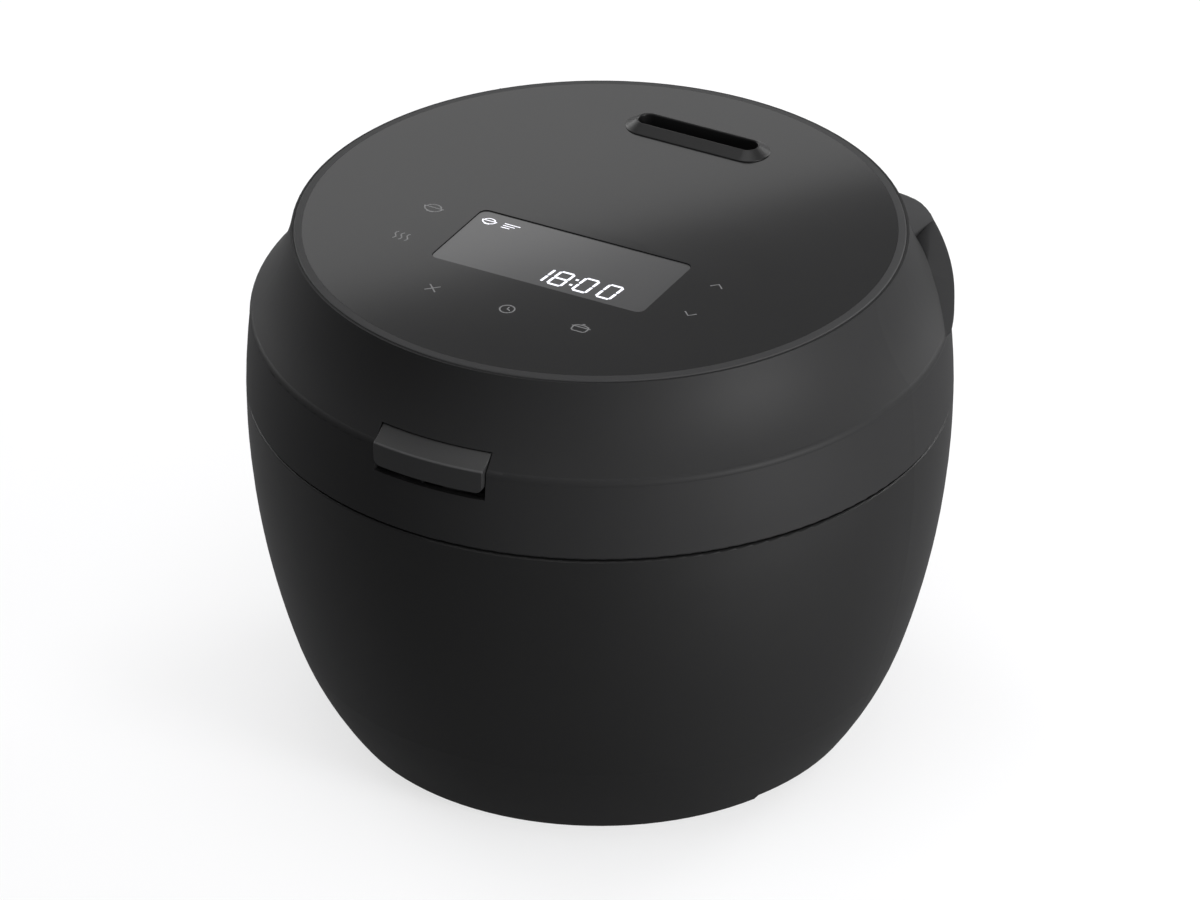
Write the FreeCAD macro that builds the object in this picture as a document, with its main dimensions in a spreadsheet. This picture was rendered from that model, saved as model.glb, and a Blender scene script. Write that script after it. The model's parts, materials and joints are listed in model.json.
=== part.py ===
import FreeCAD, Part
import math
import operator
import os
import Sketcher

# A free-standing induction rice cooker with a hinged lid, in millimetres.
# +Z is up, the front (with the lid release) faces -Y, and the origin lies on the
# surface that the feet stand on, under the middle of the bowl.

# Driving sizes, one sheet cell each
SIZES = {
    # Walls and clearances
    "wall": 2.5,
    "rebate_wall": 1.3,
    "edge_round": 0.8,
    "fit_gap": 0.3,
    "running_gap": 0.05,
    "screw_gap": 0.1,
    # Outer body
    "foot_gap": 2.0,
    "base_inset": 35.6,
    "knee_inset": 17.1,
    "knee_height": 35.0,
    "seam_radius": 137.5,
    "body_height": 141.2,
    "low_arc": 135.0,
    "high_arc": 337.0,
    "rim_wall": 1.8,
    "lip_width": 11.9,
    "lip_thickness": 2.5,
    "grip_width": 87.0,
    "grip_rise": 2.3,
    # Bottom cover, feet and screws
    "cover_thickness": 2.5,
    "foot_radius": 8.0,
    "foot_inset": 16.0,
    "foot_peg_radius": 3.0,
    "cover_screw_inset": 6.9,
    "screw_radius": 1.5,
    "screw_head_radius": 3.5,
    "screw_head_height": 1.4,
    "cover_screw_length": 4.4,
    "air_slot_width": 3.0,
    "air_slot_length": 44.0,
    "air_slot_pitch": 6.5,
    # Upper frame and pot
    "frame_thickness": 2.5,
    "frame_well_gap": 1.0,
    "pot_seat_depth": 6.2,
    "pot_wall": 3.0,
    "pot_corner": 28.0,
    "flange_inset": 25.5,
    "flange_width": 16.0,
    "flange_thickness": 3.0,
    "seat_width": 9.0,
    # Inner casing, coils and side heater
    "casing_gap": 4.5,
    "casing_wall": 2.0,
    "floor_gap": 3.0,
    "casing_floor_inset": 20.5,
    "casing_corner_height": 23.0,
    "coil_inner_radius": 32.0,
    "coil_inset": 11.0,
    "coil_thickness": 4.0,
    "side_coil_thickness": 4.0,
    "side_coil_height": 18.0,
    "side_coil_lift": 4.0,
    "heater_band_thickness": 1.2,
    "heater_band_height": 26.0,
    "heater_band_drop": 8.5,
    "ferrite_width": 10.0,
    "ferrite_thickness": 4.0,
    "ferrite_margin": 2.0,
    "carrier_thickness": 2.5,
    "carrier_post_radius": 3.5,
    "carrier_post_gap": 1.5,
    "carrier_margin": 1.5,
    # Temperature sensor under the pot
    "sensor_radius": 16.5,
    "sensor_wall": 2.0,
    "sensor_cap": 2.5,
    "sensor_skirt": 7.0,
    "sensor_well_depth": 18.0,
    "sensor_flange": 9.0,
    "sensor_spring_radius": 11.0,
    "sensor_spring_wall": 3.0,
    # Power electronics in the base
    "bay_height": 20.0,
    "bay_headroom": 2.5,
    "fan_sensor_gap": 1.2,
    "fan_lip_gap": 10.0,
    "fan_wall": 3.0,
    "fan_lift": 2.5,
    "fan_hub_radius": 11.0,
    "fan_shaft_radius": 2.0,
    "fan_plate": 2.0,
    "fan_spoke": 4.0,
    "fan_blade": 1.5,
    "fan_blade_width": 9.0,
    "board_inset": 10.0,
    "board_width": 58.0,
    "board_thickness": 1.6,
    "board_lift": 5.5,
    "board_fan_gap": 6.0,
    "post_radius": 3.5,
    "sink_length": 36.0,
    "sink_base": 2.4,
    "sink_gap": 0.9,
    "sink_fin": 1.6,
    "capacitor_radius": 9.0,
    "choke_radius": 10.0,
    "choke_height": 8.0,
    "relay_size": 15.0,
    # Power inlet at the back of the base
    "inlet_width": 34.0,
    "inlet_height": 22.0,
    "inlet_lift": 8.0,
    "inlet_inset": 4.9,
    "inlet_wall": 3.0,
    "inlet_pin_radius": 2.0,
    "inlet_pin_pitch": 12.0,
    "inlet_pin_reach": 9.0,
    "inlet_tail": 4.0,
    # Lid shell
    "seam_gap": 0.6,
    "band_height": 32.8,
    "band_arc": 320.0,
    "crease_inset": 2.3,
    "crease_round": 1.6,
    "cove_height": 34.3,
    "cove_inset": 15.9,
    "cove_arc": 70.0,
    "brim_wall": 1.0,
    "deck_drop": 3.8,
    "deck_width": 12.5,
    "deck_thickness": 2.5,
    "boss_radius": 4.0,
    "boss_inset": 13.5,
    "lid_screw_length": 14.0,
    # Lid underside
    "gasket_inset": 5.0,
    "gasket_width": 7.0,
    "gasket_height": 3.7,
    "inner_lid_margin": 2.0,
    "inner_lid_thickness": 1.2,
    "heater_gap": 0.8,
    "lid_heater_inset": 6.0,
    "lid_heater_thickness": 1.0,
    "liner_thickness": 2.5,
    "liner_step_inset": 4.0,
    # Top panel and display
    "panel_rise": 0.9,
    "panel_edge_gap": 0.3,
    "panel_thickness": 2.2,
    "panel_skirt": 4.3,
    "panel_bevel": 0.8,
    "panel_groove": 0.7,
    "display_width": 92.0,
    "display_depth": 42.0,
    "display_y": -30.8,
    "display_corner": 3.0,
    "display_sink": 0.4,
    "display_thickness": 1.2,
    "display_ledge": 2.0,
    "module_inset": 4.0,
    "module_border": 4.0,
    "display_frame_height": 3.7,
    "pad_height": 6.9,
    "pad_radius": 6.0,
    "key_side_x": 63.0,
    "key_upper_y": -19.0,
    "key_lower_y": -43.6,
    "key_front_x": 32.0,
    "key_front_y": -73.0,
    "control_board_edge": 9.0,
    "control_board_thickness": 1.6,
    "standoff_inset": 8.0,
    # Steam way
    "vent_inset": 38.0,
    "vent_length": 62.0,
    "vent_width": 18.0,
    "vent_rise": 3.0,
    "vent_land": 1.0,
    "vent_bevel": 2.6,
    "vent_neck": 4.0,
    "slot_edge": 5.0,
    "steam_box_height": 25.0,
    "steam_wall": 1.6,
    "duct_radius": 8.0,
    "duct_wall": 2.0,
    "valve_hole_radius": 4.0,
    "ball_radius": 6.0,
    "cage_radius": 10.2,
    "cage_wall": 2.0,
    "cage_height": 8.5,
    "solenoid_width": 22.0,
    "solenoid_length": 26.0,
    "solenoid_height": 17.0,
    "solenoid_gap": 2.0,
    "plunger_radius": 2.5,
    "plunger_lift": 3.5,
    "plunger_travel": 3.0,
    "safety_x": 30.0,
    "safety_back": 22.0,
    "safety_radius": 7.0,
    "safety_flange": 2.0,
    "safety_height": 8.0,
    "safety_hole_radius": 2.5,
    # Rear hinge
    "hinge_out": 10.0,
    "hinge_up": 8.8,
    "hinge_half_width": 42.0,
    "ear_radius": 8.0,
    "ear_width": 10.0,
    "bracket_depth": 32.0,
    "bracket_corner": 7.0,
    "bracket_belly": 60.0,
    "bracket_top_drop": 2.2,
    "bracket_inside": 12.0,
    "pin_radius": 2.5,
    "barrel_radius": 7.0,
    "arm_low": 5.0,
    "arm_high": 9.0,
    "hinge_screw_radius": 2.0,
    "bracket_screw_x": 20.0,
    "bracket_screw_drop": 12.0,
    "arm_screw_x": 20.0,
    "arm_screw_up": 3.0,
    "hinge_screw_length": 14.0,
    "hinge_screw_inside": 6.5,
    "hinge_spring_half_length": 11.0,
    "hinge_spring_radius": 5.2,
    "hinge_spring_wall": 1.8,
    "collar_angle": 130.0,
    "collar_fold": 18.0,
    "collar_slope": 30.0,
    "collar_ledge_width": 12.2,
    "collar_ledge_drop": 11.0,
    "collar_round": 13.0,
    "collar_round_drop": 23.0,
    "collar_inset": 0.4,
    "collar_lift": 1.0,
    "ear_angle": 3.0,
    "fin_wall": 3.2,
    "saddle_drop": 10.8,
    "saddle_foot": 12.3,
    # Lid release and latch
    "button_width": 47.0,
    "button_gap": 0.5,
    "button_proud": 0.2,
    "button_back": 15.2,
    "button_height": 9.4,
    "button_drop": 7.5,
    "button_ledge_rise": 4.6,
    "button_ledge_width": 7.8,
    "button_edge": 0.6,
    "button_travel": 2.8,
    "button_floor_gap": 0.6,
    "button_spring_x": 16.0,
    "button_spring_inset": 10.5,
    "button_spring_radius": 3.0,
    "button_spring_wall": 1.0,
    "button_spring_pocket": 8.5,
    "housing_wall": 2.5,
    "housing_inset": 30.5,
    "housing_floor": 2.0,
    "housing_ear": 3.0,
    "hook_inset": 23.5,
    "hook_up": 10.5,
    "hook_half_width": 4.0,
    "hook_bar": 3.0,
    "hook_tail": 15.5,
    "hook_head": 4.5,
    "hook_pin_radius": 1.5,
    "hook_side_gap": 0.5,
    "tail_gap": 0.6,
    "stem_from_tail": 2.1,
    "stem_width": 2.4,
    "strike_inset": 9.9,
    "strike_thickness": 1.8,
    "strike_depth": 5.5,
    "strike_half_width": 12.0,
    "toe_gap": 0.6,
    "toe_drop": 0.5,
    "toe_height": 3.0,
    "toe_reach": 1.5,
    "shank_width": 4.0,
    "slot_half_width": 8.0,
    "slot_inset": 20.5,
}

DOCUMENT = FreeCAD.newDocument("rice_cooker")
SHEET = DOCUMENT.addObject("Spreadsheet::Sheet", "sizes")
SIGNS = {"+": operator.add, "-": operator.sub, "*": operator.mul, "/": operator.truediv}
TURNS = {
    "x": FreeCAD.Rotation(FreeCAD.Vector(0, 1, 0), 90),
    "y": FreeCAD.Rotation(FreeCAD.Vector(1, 0, 0), -90),
    "z": FreeCAD.Rotation(),
}
UPRIGHT_EDGES = (1, 3, 5, 7)
NODES = []


class Size:
    """A length from the sheet: its expression text, and its number for first positions."""

    def __init__(self, text, value):
        self.text = text
        self.value = value

    def __add__(self, other):
        return joined(self, "+", other)

    def __radd__(self, other):
        return joined(other, "+", self)

    def __sub__(self, other):
        return joined(self, "-", other)

    def __rsub__(self, other):
        return joined(other, "-", self)

    def __mul__(self, other):
        return joined(self, "*", other)

    def __rmul__(self, other):
        return joined(other, "*", self)

    def __truediv__(self, other):
        return joined(self, "/", other)

    def __neg__(self):
        return joined(0, "-", self)


class Cells:
    """The sheet's cells, each a Size under its own name."""


def as_size(thing):
    if isinstance(thing, Size):
        return thing
    return Size(f"({thing})", thing)


def joined(first, sign, second):
    left = as_size(first)
    right = as_size(second)
    return Size(f"({left.text} {sign} {right.text})", SIGNS[sign](left.value, right.value))


def polar(radius, degrees):
    """X and Y of a point on a circle about the upright axis."""
    angle = math.radians(degrees)
    along = Size(f"({radius.text} * cos({degrees} deg))", radius.value * math.cos(angle))
    across = Size(f"({radius.text} * sin({degrees} deg))", radius.value * math.sin(angle))
    return along, across


def bind(thing, name, size):
    thing.setExpression(name, as_size(size).text)


def place(thing, corner):
    for letter, size in zip("xyz", corner):
        bind(thing, f"Placement.Base.{letter}", size)


def block(name, x_span, y_span, z_span):
    """A box between a low and a high value on each axis."""
    box = DOCUMENT.addObject("Part::Box", name)
    spans = (x_span, y_span, z_span)
    for length, letter, (low, high) in zip(("Length", "Width", "Height"), "xyz", spans):
        bind(box, length, as_size(high) - low)
        bind(box, f"Placement.Base.{letter}", low)
    return box


def rounded_block(name, x_span, y_span, z_span, radius):
    """A box whose upright edges are rounded."""
    result = DOCUMENT.addObject("Part::Fillet", name)
    result.Base = block(f"{name}_blank", x_span, y_span, z_span)
    result.Edges = [(edge, radius.value, radius.value) for edge in UPRIGHT_EDGES]
    return result


def rod(name, radius, start, length, along="z"):
    """A cylinder from a start point along one axis."""
    cylinder = DOCUMENT.addObject("Part::Cylinder", name)
    cylinder.Placement = FreeCAD.Placement(FreeCAD.Vector(), TURNS[along])
    bind(cylinder, "Radius", radius)
    bind(cylinder, "Height", length)
    place(cylinder, start)
    return cylinder


def tube(name, outer, inner, start, length, along="z"):
    body = rod(f"{name}_outside", outer, start, length, along)
    return cut(name, body, rod(f"{name}_bore", inner, start, length, along))


def stadium(name, centre_y, length, width, z_span):
    """A bar along X with round ends."""
    low, high = z_span
    reach = (length - width) / 2
    spans = ((-reach, reach), (centre_y - width / 2, centre_y + width / 2), z_span)
    pieces = [block(f"{name}_middle", *spans)]
    for side, end_x in (("left", -reach), ("right", reach)):
        pieces.append(rod(f"{name}_{side}", width / 2, (end_x, centre_y, low), as_size(high) - low))
    return fuse(name, *pieces)


def fuse(name, *pieces):
    result = DOCUMENT.addObject("Part::MultiFuse", name)
    result.Shapes = list(pieces)
    result.Refine = True
    return result


def cut(name, base, *tools):
    tool = tools[0] if len(tools) == 1 else fuse(f"{name}_tools", *tools)
    result = DOCUMENT.addObject("Part::Cut", name)
    result.Base = base
    result.Tool = tool
    return result


def common(name, first, second):
    result = DOCUMENT.addObject("Part::Common", name)
    result.Base = first
    result.Tool = second
    return result


def group(name, pieces):
    """Identical pieces kept as separate solids of one node."""
    result = DOCUMENT.addObject("Part::Compound", name)
    result.Links = pieces
    return result


def arc_between(start, end, radius):
    """The short arc from start to end: a positive radius turns left, a negative one right."""
    chord = end - start
    middle = (start + end) / 2
    left = FreeCAD.Vector(-chord.y, chord.x, 0).normalize()
    rise = math.sqrt(radius**2 - (chord.Length / 2) ** 2)
    centre = middle + left * math.copysign(rise, radius)
    first, last = (start, end) if radius > 0 else (end, start)
    angles = [math.atan2(point.y - centre.y, point.x - centre.x) for point in (first, last)]
    circle = Part.Circle(centre, FreeCAD.Vector(0, 0, 1), abs(radius))
    return Part.ArcOfCircle(circle, *angles)


def outline_sketch(body, plane, outline):
    """A closed sketch through points (across, up), or (across, up, arc radius to that point)."""
    sketch = body.newObject("Sketcher::SketchObject", f"{body.Name}_outline")
    support = next(item for item in body.Origin.OriginFeatures if item.Role == plane)
    sketch.AttachmentSupport = [(support, "")]
    sketch.MapMode = "FlatFace"
    places = [FreeCAD.Vector(as_size(item[0]).value, as_size(item[1]).value, 0) for item in outline]
    count = len(outline)
    starts = []
    ends = []
    for index in range(count):
        target = outline[(index + 1) % count]
        start = places[index]
        end = places[(index + 1) % count]
        if len(target) == 3:
            radius = as_size(target[2])
            edge = sketch.addGeometry(arc_between(start, end, radius.value), False)
            datum = sketch.addConstraint(Sketcher.Constraint("Radius", edge, abs(radius.value)))
            sketch.setExpression(f"Constraints[{datum}]", f"abs({radius.text})")
            forward = radius.value > 0
        else:
            edge = sketch.addGeometry(Part.LineSegment(start, end), False)
            forward = True
        starts.append((edge, 1 if forward else 2))
        ends.append((edge, 2 if forward else 1))
    for index in range(count):
        sketch.addConstraint(Sketcher.Constraint("Coincident", *ends[index - 1], *starts[index]))
    for corner, (across, up, *_) in zip(starts, outline):
        for kind, size, axis in (("DistanceX", as_size(across), -2), ("DistanceY", as_size(up), -1)):
            if size.value == 0:
                sketch.addConstraint(Sketcher.Constraint("PointOnObject", *corner, axis))
            else:
                datum = sketch.addConstraint(Sketcher.Constraint(kind, -1, 1, *corner, size.value))
                sketch.setExpression(f"Constraints[{datum}]", size.text)
    return sketch


def turned(name, outline, angle=None):
    """A body turned about the upright axis from an outline of (radius, height) points."""
    body = DOCUMENT.addObject("PartDesign::Body", name)
    sketch = outline_sketch(body, "XZ_Plane", outline)
    turn = body.newObject("PartDesign::Revolution", f"{name}_turn")
    turn.Profile = sketch
    turn.ReferenceAxis = (sketch, ["V_Axis"])
    if angle is None:
        turn.Angle = 360
    else:
        bind(turn, "Angle", angle)
        turn.Midplane = True
    return body


def slab(name, outline, width):
    """A body as wide as given about the middle plane, from an outline of (y, z) points."""
    body = DOCUMENT.addObject("PartDesign::Body", name)
    sketch = outline_sketch(body, "YZ_Plane", outline)
    pad = body.newObject("PartDesign::Pad", f"{name}_pad")
    pad.Profile = sketch
    bind(pad, "Length", width)
    pad.SideType = "Symmetric"
    return body


def node(thing):
    """Registers a finished sub-part under its own label."""
    NODES.append(thing)
    return thing


# The sheet and its cells
size = Cells()
for row, (cell_name, number) in enumerate(SIZES.items(), 1):
    SHEET.set(f"A{row}", cell_name)
    SHEET.set(f"B{row}", str(number))
    SHEET.setAlias(f"B{row}", cell_name)
    setattr(size, cell_name, Size(f"sizes.{cell_name}", number))
DOCUMENT.recompute()

# Heights that several pieces share
base_z = size.foot_gap
cover_top_z = base_z + size.cover_thickness
lip_top_z = cover_top_z + size.lip_thickness
knee_z = base_z + size.knee_height
seam_z = base_z + size.body_height
frame_under_z = seam_z - size.frame_thickness
pot_seat_z = seam_z - size.pot_seat_depth
seat_under_z = pot_seat_z - size.frame_thickness
pot_top_z = pot_seat_z + size.flange_thickness
carrier_bottom_z = cover_top_z + size.bay_height
bay_top_z = carrier_bottom_z - size.bay_headroom
ferrite_bottom_z = carrier_bottom_z + size.carrier_thickness
coil_bottom_z = ferrite_bottom_z + size.ferrite_thickness
casing_bottom_z = coil_bottom_z + size.coil_thickness
casing_floor_z = casing_bottom_z + size.casing_wall
casing_corner_z = casing_floor_z + size.casing_corner_height
pot_bottom_z = casing_floor_z + size.floor_gap
pot_floor_z = pot_bottom_z + size.pot_wall
well_top_z = casing_floor_z + size.floor_gap / 2
well_bottom_z = well_top_z - size.sensor_well_depth
lid_base_z = seam_z + size.seam_gap
crease_z = seam_z + size.band_height
cove_top_z = crease_z + size.cove_height
deck_z = cove_top_z - size.deck_drop
top_z = cove_top_z + size.panel_rise
panel_under_z = top_z - size.panel_thickness
gasket_z = pot_top_z + size.fit_gap
inner_lid_z = gasket_z + size.gasket_height
inner_lid_top_z = inner_lid_z + size.inner_lid_thickness
lid_heater_z = inner_lid_top_z + size.heater_gap
liner_plate_z = lid_heater_z + size.lid_heater_thickness
liner_top_z = liner_plate_z + size.liner_thickness
hinge_y = size.seam_radius + size.hinge_out
hinge_z = seam_z + size.hinge_up

# Radii that several pieces share, all measured in from the seam
base_radius = size.seam_radius - size.base_inset
knee_radius = size.seam_radius - size.knee_inset
lip_radius = base_radius - size.lip_width
foot_ring_radius = lip_radius - size.foot_inset
cover_screw_ring_radius = base_radius - size.cover_screw_inset
flange_radius = size.seam_radius - size.flange_inset
well_radius = flange_radius + size.frame_well_gap
pot_radius = flange_radius - size.flange_width
pot_outer_radius = pot_radius + size.pot_wall
casing_inner_radius = pot_outer_radius + size.casing_gap
casing_outer_radius = casing_inner_radius + size.casing_wall
casing_floor_radius = casing_outer_radius - size.casing_floor_inset
coil_outer_radius = casing_floor_radius - size.coil_inset
shell_inside_radius = size.seam_radius - size.wall
crease_radius = size.seam_radius - size.crease_inset
cove_top_radius = crease_radius - size.cove_inset
brim_radius = cove_top_radius - size.brim_wall
deck_inner_radius = cove_top_radius - size.deck_width
panel_radius = brim_radius - size.panel_edge_gap
lid_room_radius = crease_radius - size.wall - size.fit_gap
boss_ring_radius = size.seam_radius - size.boss_inset
gasket_inner_radius = pot_radius + size.gasket_inset
inner_lid_radius = gasket_inner_radius + size.gasket_width + size.inner_lid_margin
lid_heater_radius = inner_lid_radius - size.lid_heater_inset
liner_step_radius = inner_lid_radius - size.liner_step_inset

# Places that follow those radii
well_outer_radius = size.sensor_radius + size.fit_gap + size.sensor_wall
fan_low_x = well_outer_radius + size.fan_sensor_gap
fan_high_x = lip_radius - size.fan_lip_gap
fan_x = (fan_low_x + fan_high_x) / 2
fan_half = (fan_high_x - fan_low_x) / 2
fan_duct_radius = fan_half - size.fan_wall
board_start_x = -(lip_radius - size.board_inset)
board_end_x = fan_low_x - size.board_fan_gap
vent_y = panel_radius - size.vent_inset
safety_y = vent_y - size.safety_back
inlet_back_y = base_radius - size.inlet_inset
hook_y = size.seam_radius - size.hook_inset
strike_edge_y = size.seam_radius - size.strike_inset
slot_inside_y = size.seam_radius - size.slot_inset
housing_inside_y = size.seam_radius - size.housing_inset
button_spring_y = size.seam_radius - size.button_spring_inset

# Envelopes that trim what lies flush with the outer skin
body_form = turned(
    "body_form",
    [
        (0, base_z),
        (base_radius, base_z),
        (knee_radius, knee_z, size.low_arc),
        (size.seam_radius, seam_z, size.high_arc),
        (0, seam_z),
    ],
)
lid_form = turned(
    "lid_form",
    [
        (0, liner_top_z),
        (shell_inside_radius, liner_top_z),
        (crease_radius - size.edge_round, crease_z),
        (cove_top_radius, cove_top_z, -size.cove_arc),
        (0, cove_top_z),
    ],
)

# Power inlet place, shared with the opening that the outer body has for it
inlet_low_z = base_z + size.inlet_lift
inlet_high_z = inlet_low_z + size.inlet_height
inlet_middle_z = (inlet_low_z + inlet_high_z) / 2
past_skin_y = size.seam_radius + size.wall

# Hinge screw rows
bracket_screw_z = seam_z - size.bracket_screw_drop
arm_screw_z = hinge_z + size.arm_screw_up
hinge_screw_y = size.seam_radius - size.hinge_screw_inside


def screw_row(name, half_pitch, height_z):
    """Two screws along Y that hold a hinge piece from inside a wall."""
    pieces = []
    for side in (-1, 1):
        start = (half_pitch * side, hinge_screw_y, height_z)
        head_start = (half_pitch * side, hinge_screw_y - size.screw_head_height, height_z)
        shank = rod(f"{name}_shank_{side + 1}", size.hinge_screw_radius, start, size.hinge_screw_length, "y")
        head = rod(
            f"{name}_head_{side + 1}", size.screw_head_radius, head_start, size.screw_head_height, "y"
        )
        pieces.append(fuse(f"{name}_{side + 1}", shank, head))
    return group(name, pieces)


def screw_holes(name, half_pitch, height_z):
    """The two clear holes for a row of hinge screws."""
    holes = []
    for side in (-1, 1):
        start = (half_pitch * side, lip_radius, height_z)
        radius = size.hinge_screw_radius + size.screw_gap
        length = hinge_screw_y + size.hinge_screw_length + size.screw_gap - lip_radius
        holes.append(rod(f"{name}_{side + 1}", radius, start, length, "y"))
    return fuse(name, *holes)


bracket_holes = screw_holes("bracket_holes", size.bracket_screw_x, bracket_screw_z)
arm_holes = screw_holes("arm_holes", size.arm_screw_x, arm_screw_z)

# Angles round the upright axis, and counts of what repeats
COVER_SCREW_ANGLES = (30, 150, 210, 330)
FOOT_ANGLES = (45, 135, 225, 315)
LID_SCREW_ANGLES = (45, 135, 200, 240, 300, 340)
CARRIER_POST_ANGLES = (30, 90, 150, 210, 270, 330)
FRONT_STANDOFF_ANGLES = {"front_left": 230, "front_right": 310}
AIR_SLOT_STEPS = range(-3, 4)
FERRITE_COUNT = 6
FIN_COUNT = 8
BLADE_COUNT = 7
BLADE_TILT = 40
UP = FreeCAD.Vector(0, 0, 1)


def make_outer_body():
    shell = turned(
        "outer_body_shell",
        [
            (base_radius, base_z),
            (knee_radius, knee_z, size.low_arc),
            (size.seam_radius, seam_z - size.edge_round, size.high_arc),
            (size.seam_radius - size.edge_round, seam_z, size.edge_round),
            (size.seam_radius - size.rebate_wall, seam_z),
            (size.seam_radius - size.rebate_wall, frame_under_z),
            (shell_inside_radius, frame_under_z),
            (knee_radius - size.wall, knee_z, -(size.high_arc - size.wall)),
            (base_radius, lip_top_z, -(size.low_arc - size.wall)),
            (lip_radius, lip_top_z),
            (lip_radius, cover_top_z),
            (base_radius - size.rim_wall, cover_top_z),
            (base_radius - size.rim_wall, base_z),
        ],
    )
    cutters = [bracket_holes]
    half_grip = size.grip_width / 2
    for side in ("left", "right"):
        spans = {"left": (-knee_radius, -lip_radius), "right": (lip_radius, knee_radius)}
        cutters.append(
            block(f"grip_{side}", spans[side], (-half_grip, half_grip), (0, base_z + size.grip_rise))
        )
    half_inlet = size.inlet_width / 2 + size.fit_gap
    cutters.append(
        block(
            "inlet_window",
            (-half_inlet, half_inlet),
            (inlet_back_y, past_skin_y),
            (inlet_low_z - size.fit_gap, inlet_high_z + size.fit_gap),
        )
    )
    for angle in COVER_SCREW_ANGLES:
        along, across = polar(cover_screw_ring_radius, angle)
        start = (along, across, cover_top_z)
        radius = size.screw_radius + size.screw_gap
        cutters.append(rod(f"lip_hole_{angle}", radius, start, size.lip_thickness))
    node(cut("outer_body", shell, *cutters))


def make_bottom_cover():
    cover_radius = base_radius - size.rim_wall - size.fit_gap
    plate = rod("cover_plate", cover_radius, (0, 0, base_z), size.cover_thickness)
    pieces = [plate]
    post_places = (("near", board_start_x + size.post_radius), ("far", board_end_x - size.post_radius))
    for name, along in post_places:
        for side in (-1, 1):
            across = (size.board_width / 2 - size.post_radius) * side
            pieces.append(
                rod(
                    f"board_post_{name}_{side + 1}",
                    size.post_radius,
                    (along, across, cover_top_z),
                    size.board_lift,
                )
            )
    inset = fan_half - size.post_radius
    for x_side in (-1, 1):
        for y_side in (-1, 1):
            start = (fan_x + inset * x_side, inset * y_side, cover_top_z)
            pieces.append(rod(f"fan_post_{x_side + 1}_{y_side + 1}", size.post_radius, start, size.fan_lift))
    cutters = []
    half_slot = size.air_slot_width / 2
    half_length = size.air_slot_length / 2
    for step in AIR_SLOT_STEPS:
        middle = fan_x + size.air_slot_pitch * step
        spans = ((middle - half_slot, middle + half_slot), (-half_length, half_length))
        cutters.append(block(f"air_in_{step + 3}", *spans, (base_z, cover_top_z)))
        middle = -fan_x + size.air_slot_pitch * step
        spans = ((middle - half_slot, middle + half_slot), (-half_length, half_length))
        cutters.append(block(f"air_out_{step + 3}", *spans, (base_z, cover_top_z)))
    for angle in COVER_SCREW_ANGLES:
        start = (*polar(cover_screw_ring_radius, angle), base_z)
        radius = size.screw_radius + size.screw_gap
        cutters.append(rod(f"cover_hole_{angle}", radius, start, size.cover_thickness))
    for angle in FOOT_ANGLES:
        start = (*polar(foot_ring_radius, angle), base_z)
        radius = size.foot_peg_radius + size.screw_gap
        cutters.append(rod(f"foot_hole_{angle}", radius, start, size.cover_thickness))
    node(cut("bottom_cover", fuse("cover_blank", *pieces), *cutters))


def make_feet_and_screws():
    feet = []
    for angle in FOOT_ANGLES:
        along, across = polar(foot_ring_radius, angle)
        pad = rod(f"foot_pad_{angle}", size.foot_radius, (along, across, 0), size.foot_gap)
        peg = rod(f"foot_peg_{angle}", size.foot_peg_radius, (along, across, base_z), size.cover_thickness)
        feet.append(fuse(f"foot_{angle}", pad, peg))
    node(group("rubber_feet", feet))
    screws = []
    for angle in COVER_SCREW_ANGLES:
        along, across = polar(cover_screw_ring_radius, angle)
        head_start = (along, across, base_z - size.screw_head_height)
        head = rod(f"cover_screw_head_{angle}", size.screw_head_radius, head_start, size.screw_head_height)
        shank_start = (along, across, base_z)
        shank = rod(f"cover_screw_shank_{angle}", size.screw_radius, shank_start, size.cover_screw_length)
        screws.append(fuse(f"cover_screw_{angle}", head, shank))
    node(group("bottom_screws", screws))


def make_upper_frame():
    frame_radius = size.seam_radius - size.rebate_wall - size.fit_gap
    well_outside = well_radius + size.frame_thickness
    bore_radius = flange_radius - size.seat_width
    ring = turned(
        "upper_frame_ring",
        [
            (bore_radius, seat_under_z),
            (well_outside, seat_under_z),
            (well_outside, frame_under_z),
            (frame_radius, frame_under_z),
            (frame_radius, seam_z),
            (well_radius, seam_z),
            (well_radius, pot_seat_z),
            (bore_radius, pot_seat_z),
        ],
    )
    latch_slot = block(
        "latch_slot",
        (-size.slot_half_width, size.slot_half_width),
        (-(strike_edge_y + size.toe_gap), -slot_inside_y),
        (frame_under_z, seam_z),
    )
    node(cut("upper_frame", ring, latch_slot))
    node(
        block(
            "strike_plate",
            (-size.strike_half_width, size.strike_half_width),
            (-(strike_edge_y + size.strike_depth), -strike_edge_y),
            (frame_under_z - size.strike_thickness, frame_under_z),
        )
    )


def make_inner_pot():
    outer_corner = size.pot_corner + size.pot_wall
    node(
        turned(
            "inner_pot",
            [
                (0, pot_bottom_z),
                (pot_outer_radius - outer_corner, pot_bottom_z),
                (pot_outer_radius, pot_bottom_z + outer_corner, outer_corner),
                (pot_outer_radius, pot_seat_z),
                (flange_radius, pot_seat_z),
                (flange_radius, pot_top_z),
                (pot_radius, pot_top_z),
                (pot_radius, pot_floor_z + size.pot_corner),
                (pot_radius - size.pot_corner, pot_floor_z, -size.pot_corner),
                (0, pot_floor_z),
            ],
        )
    )


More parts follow.
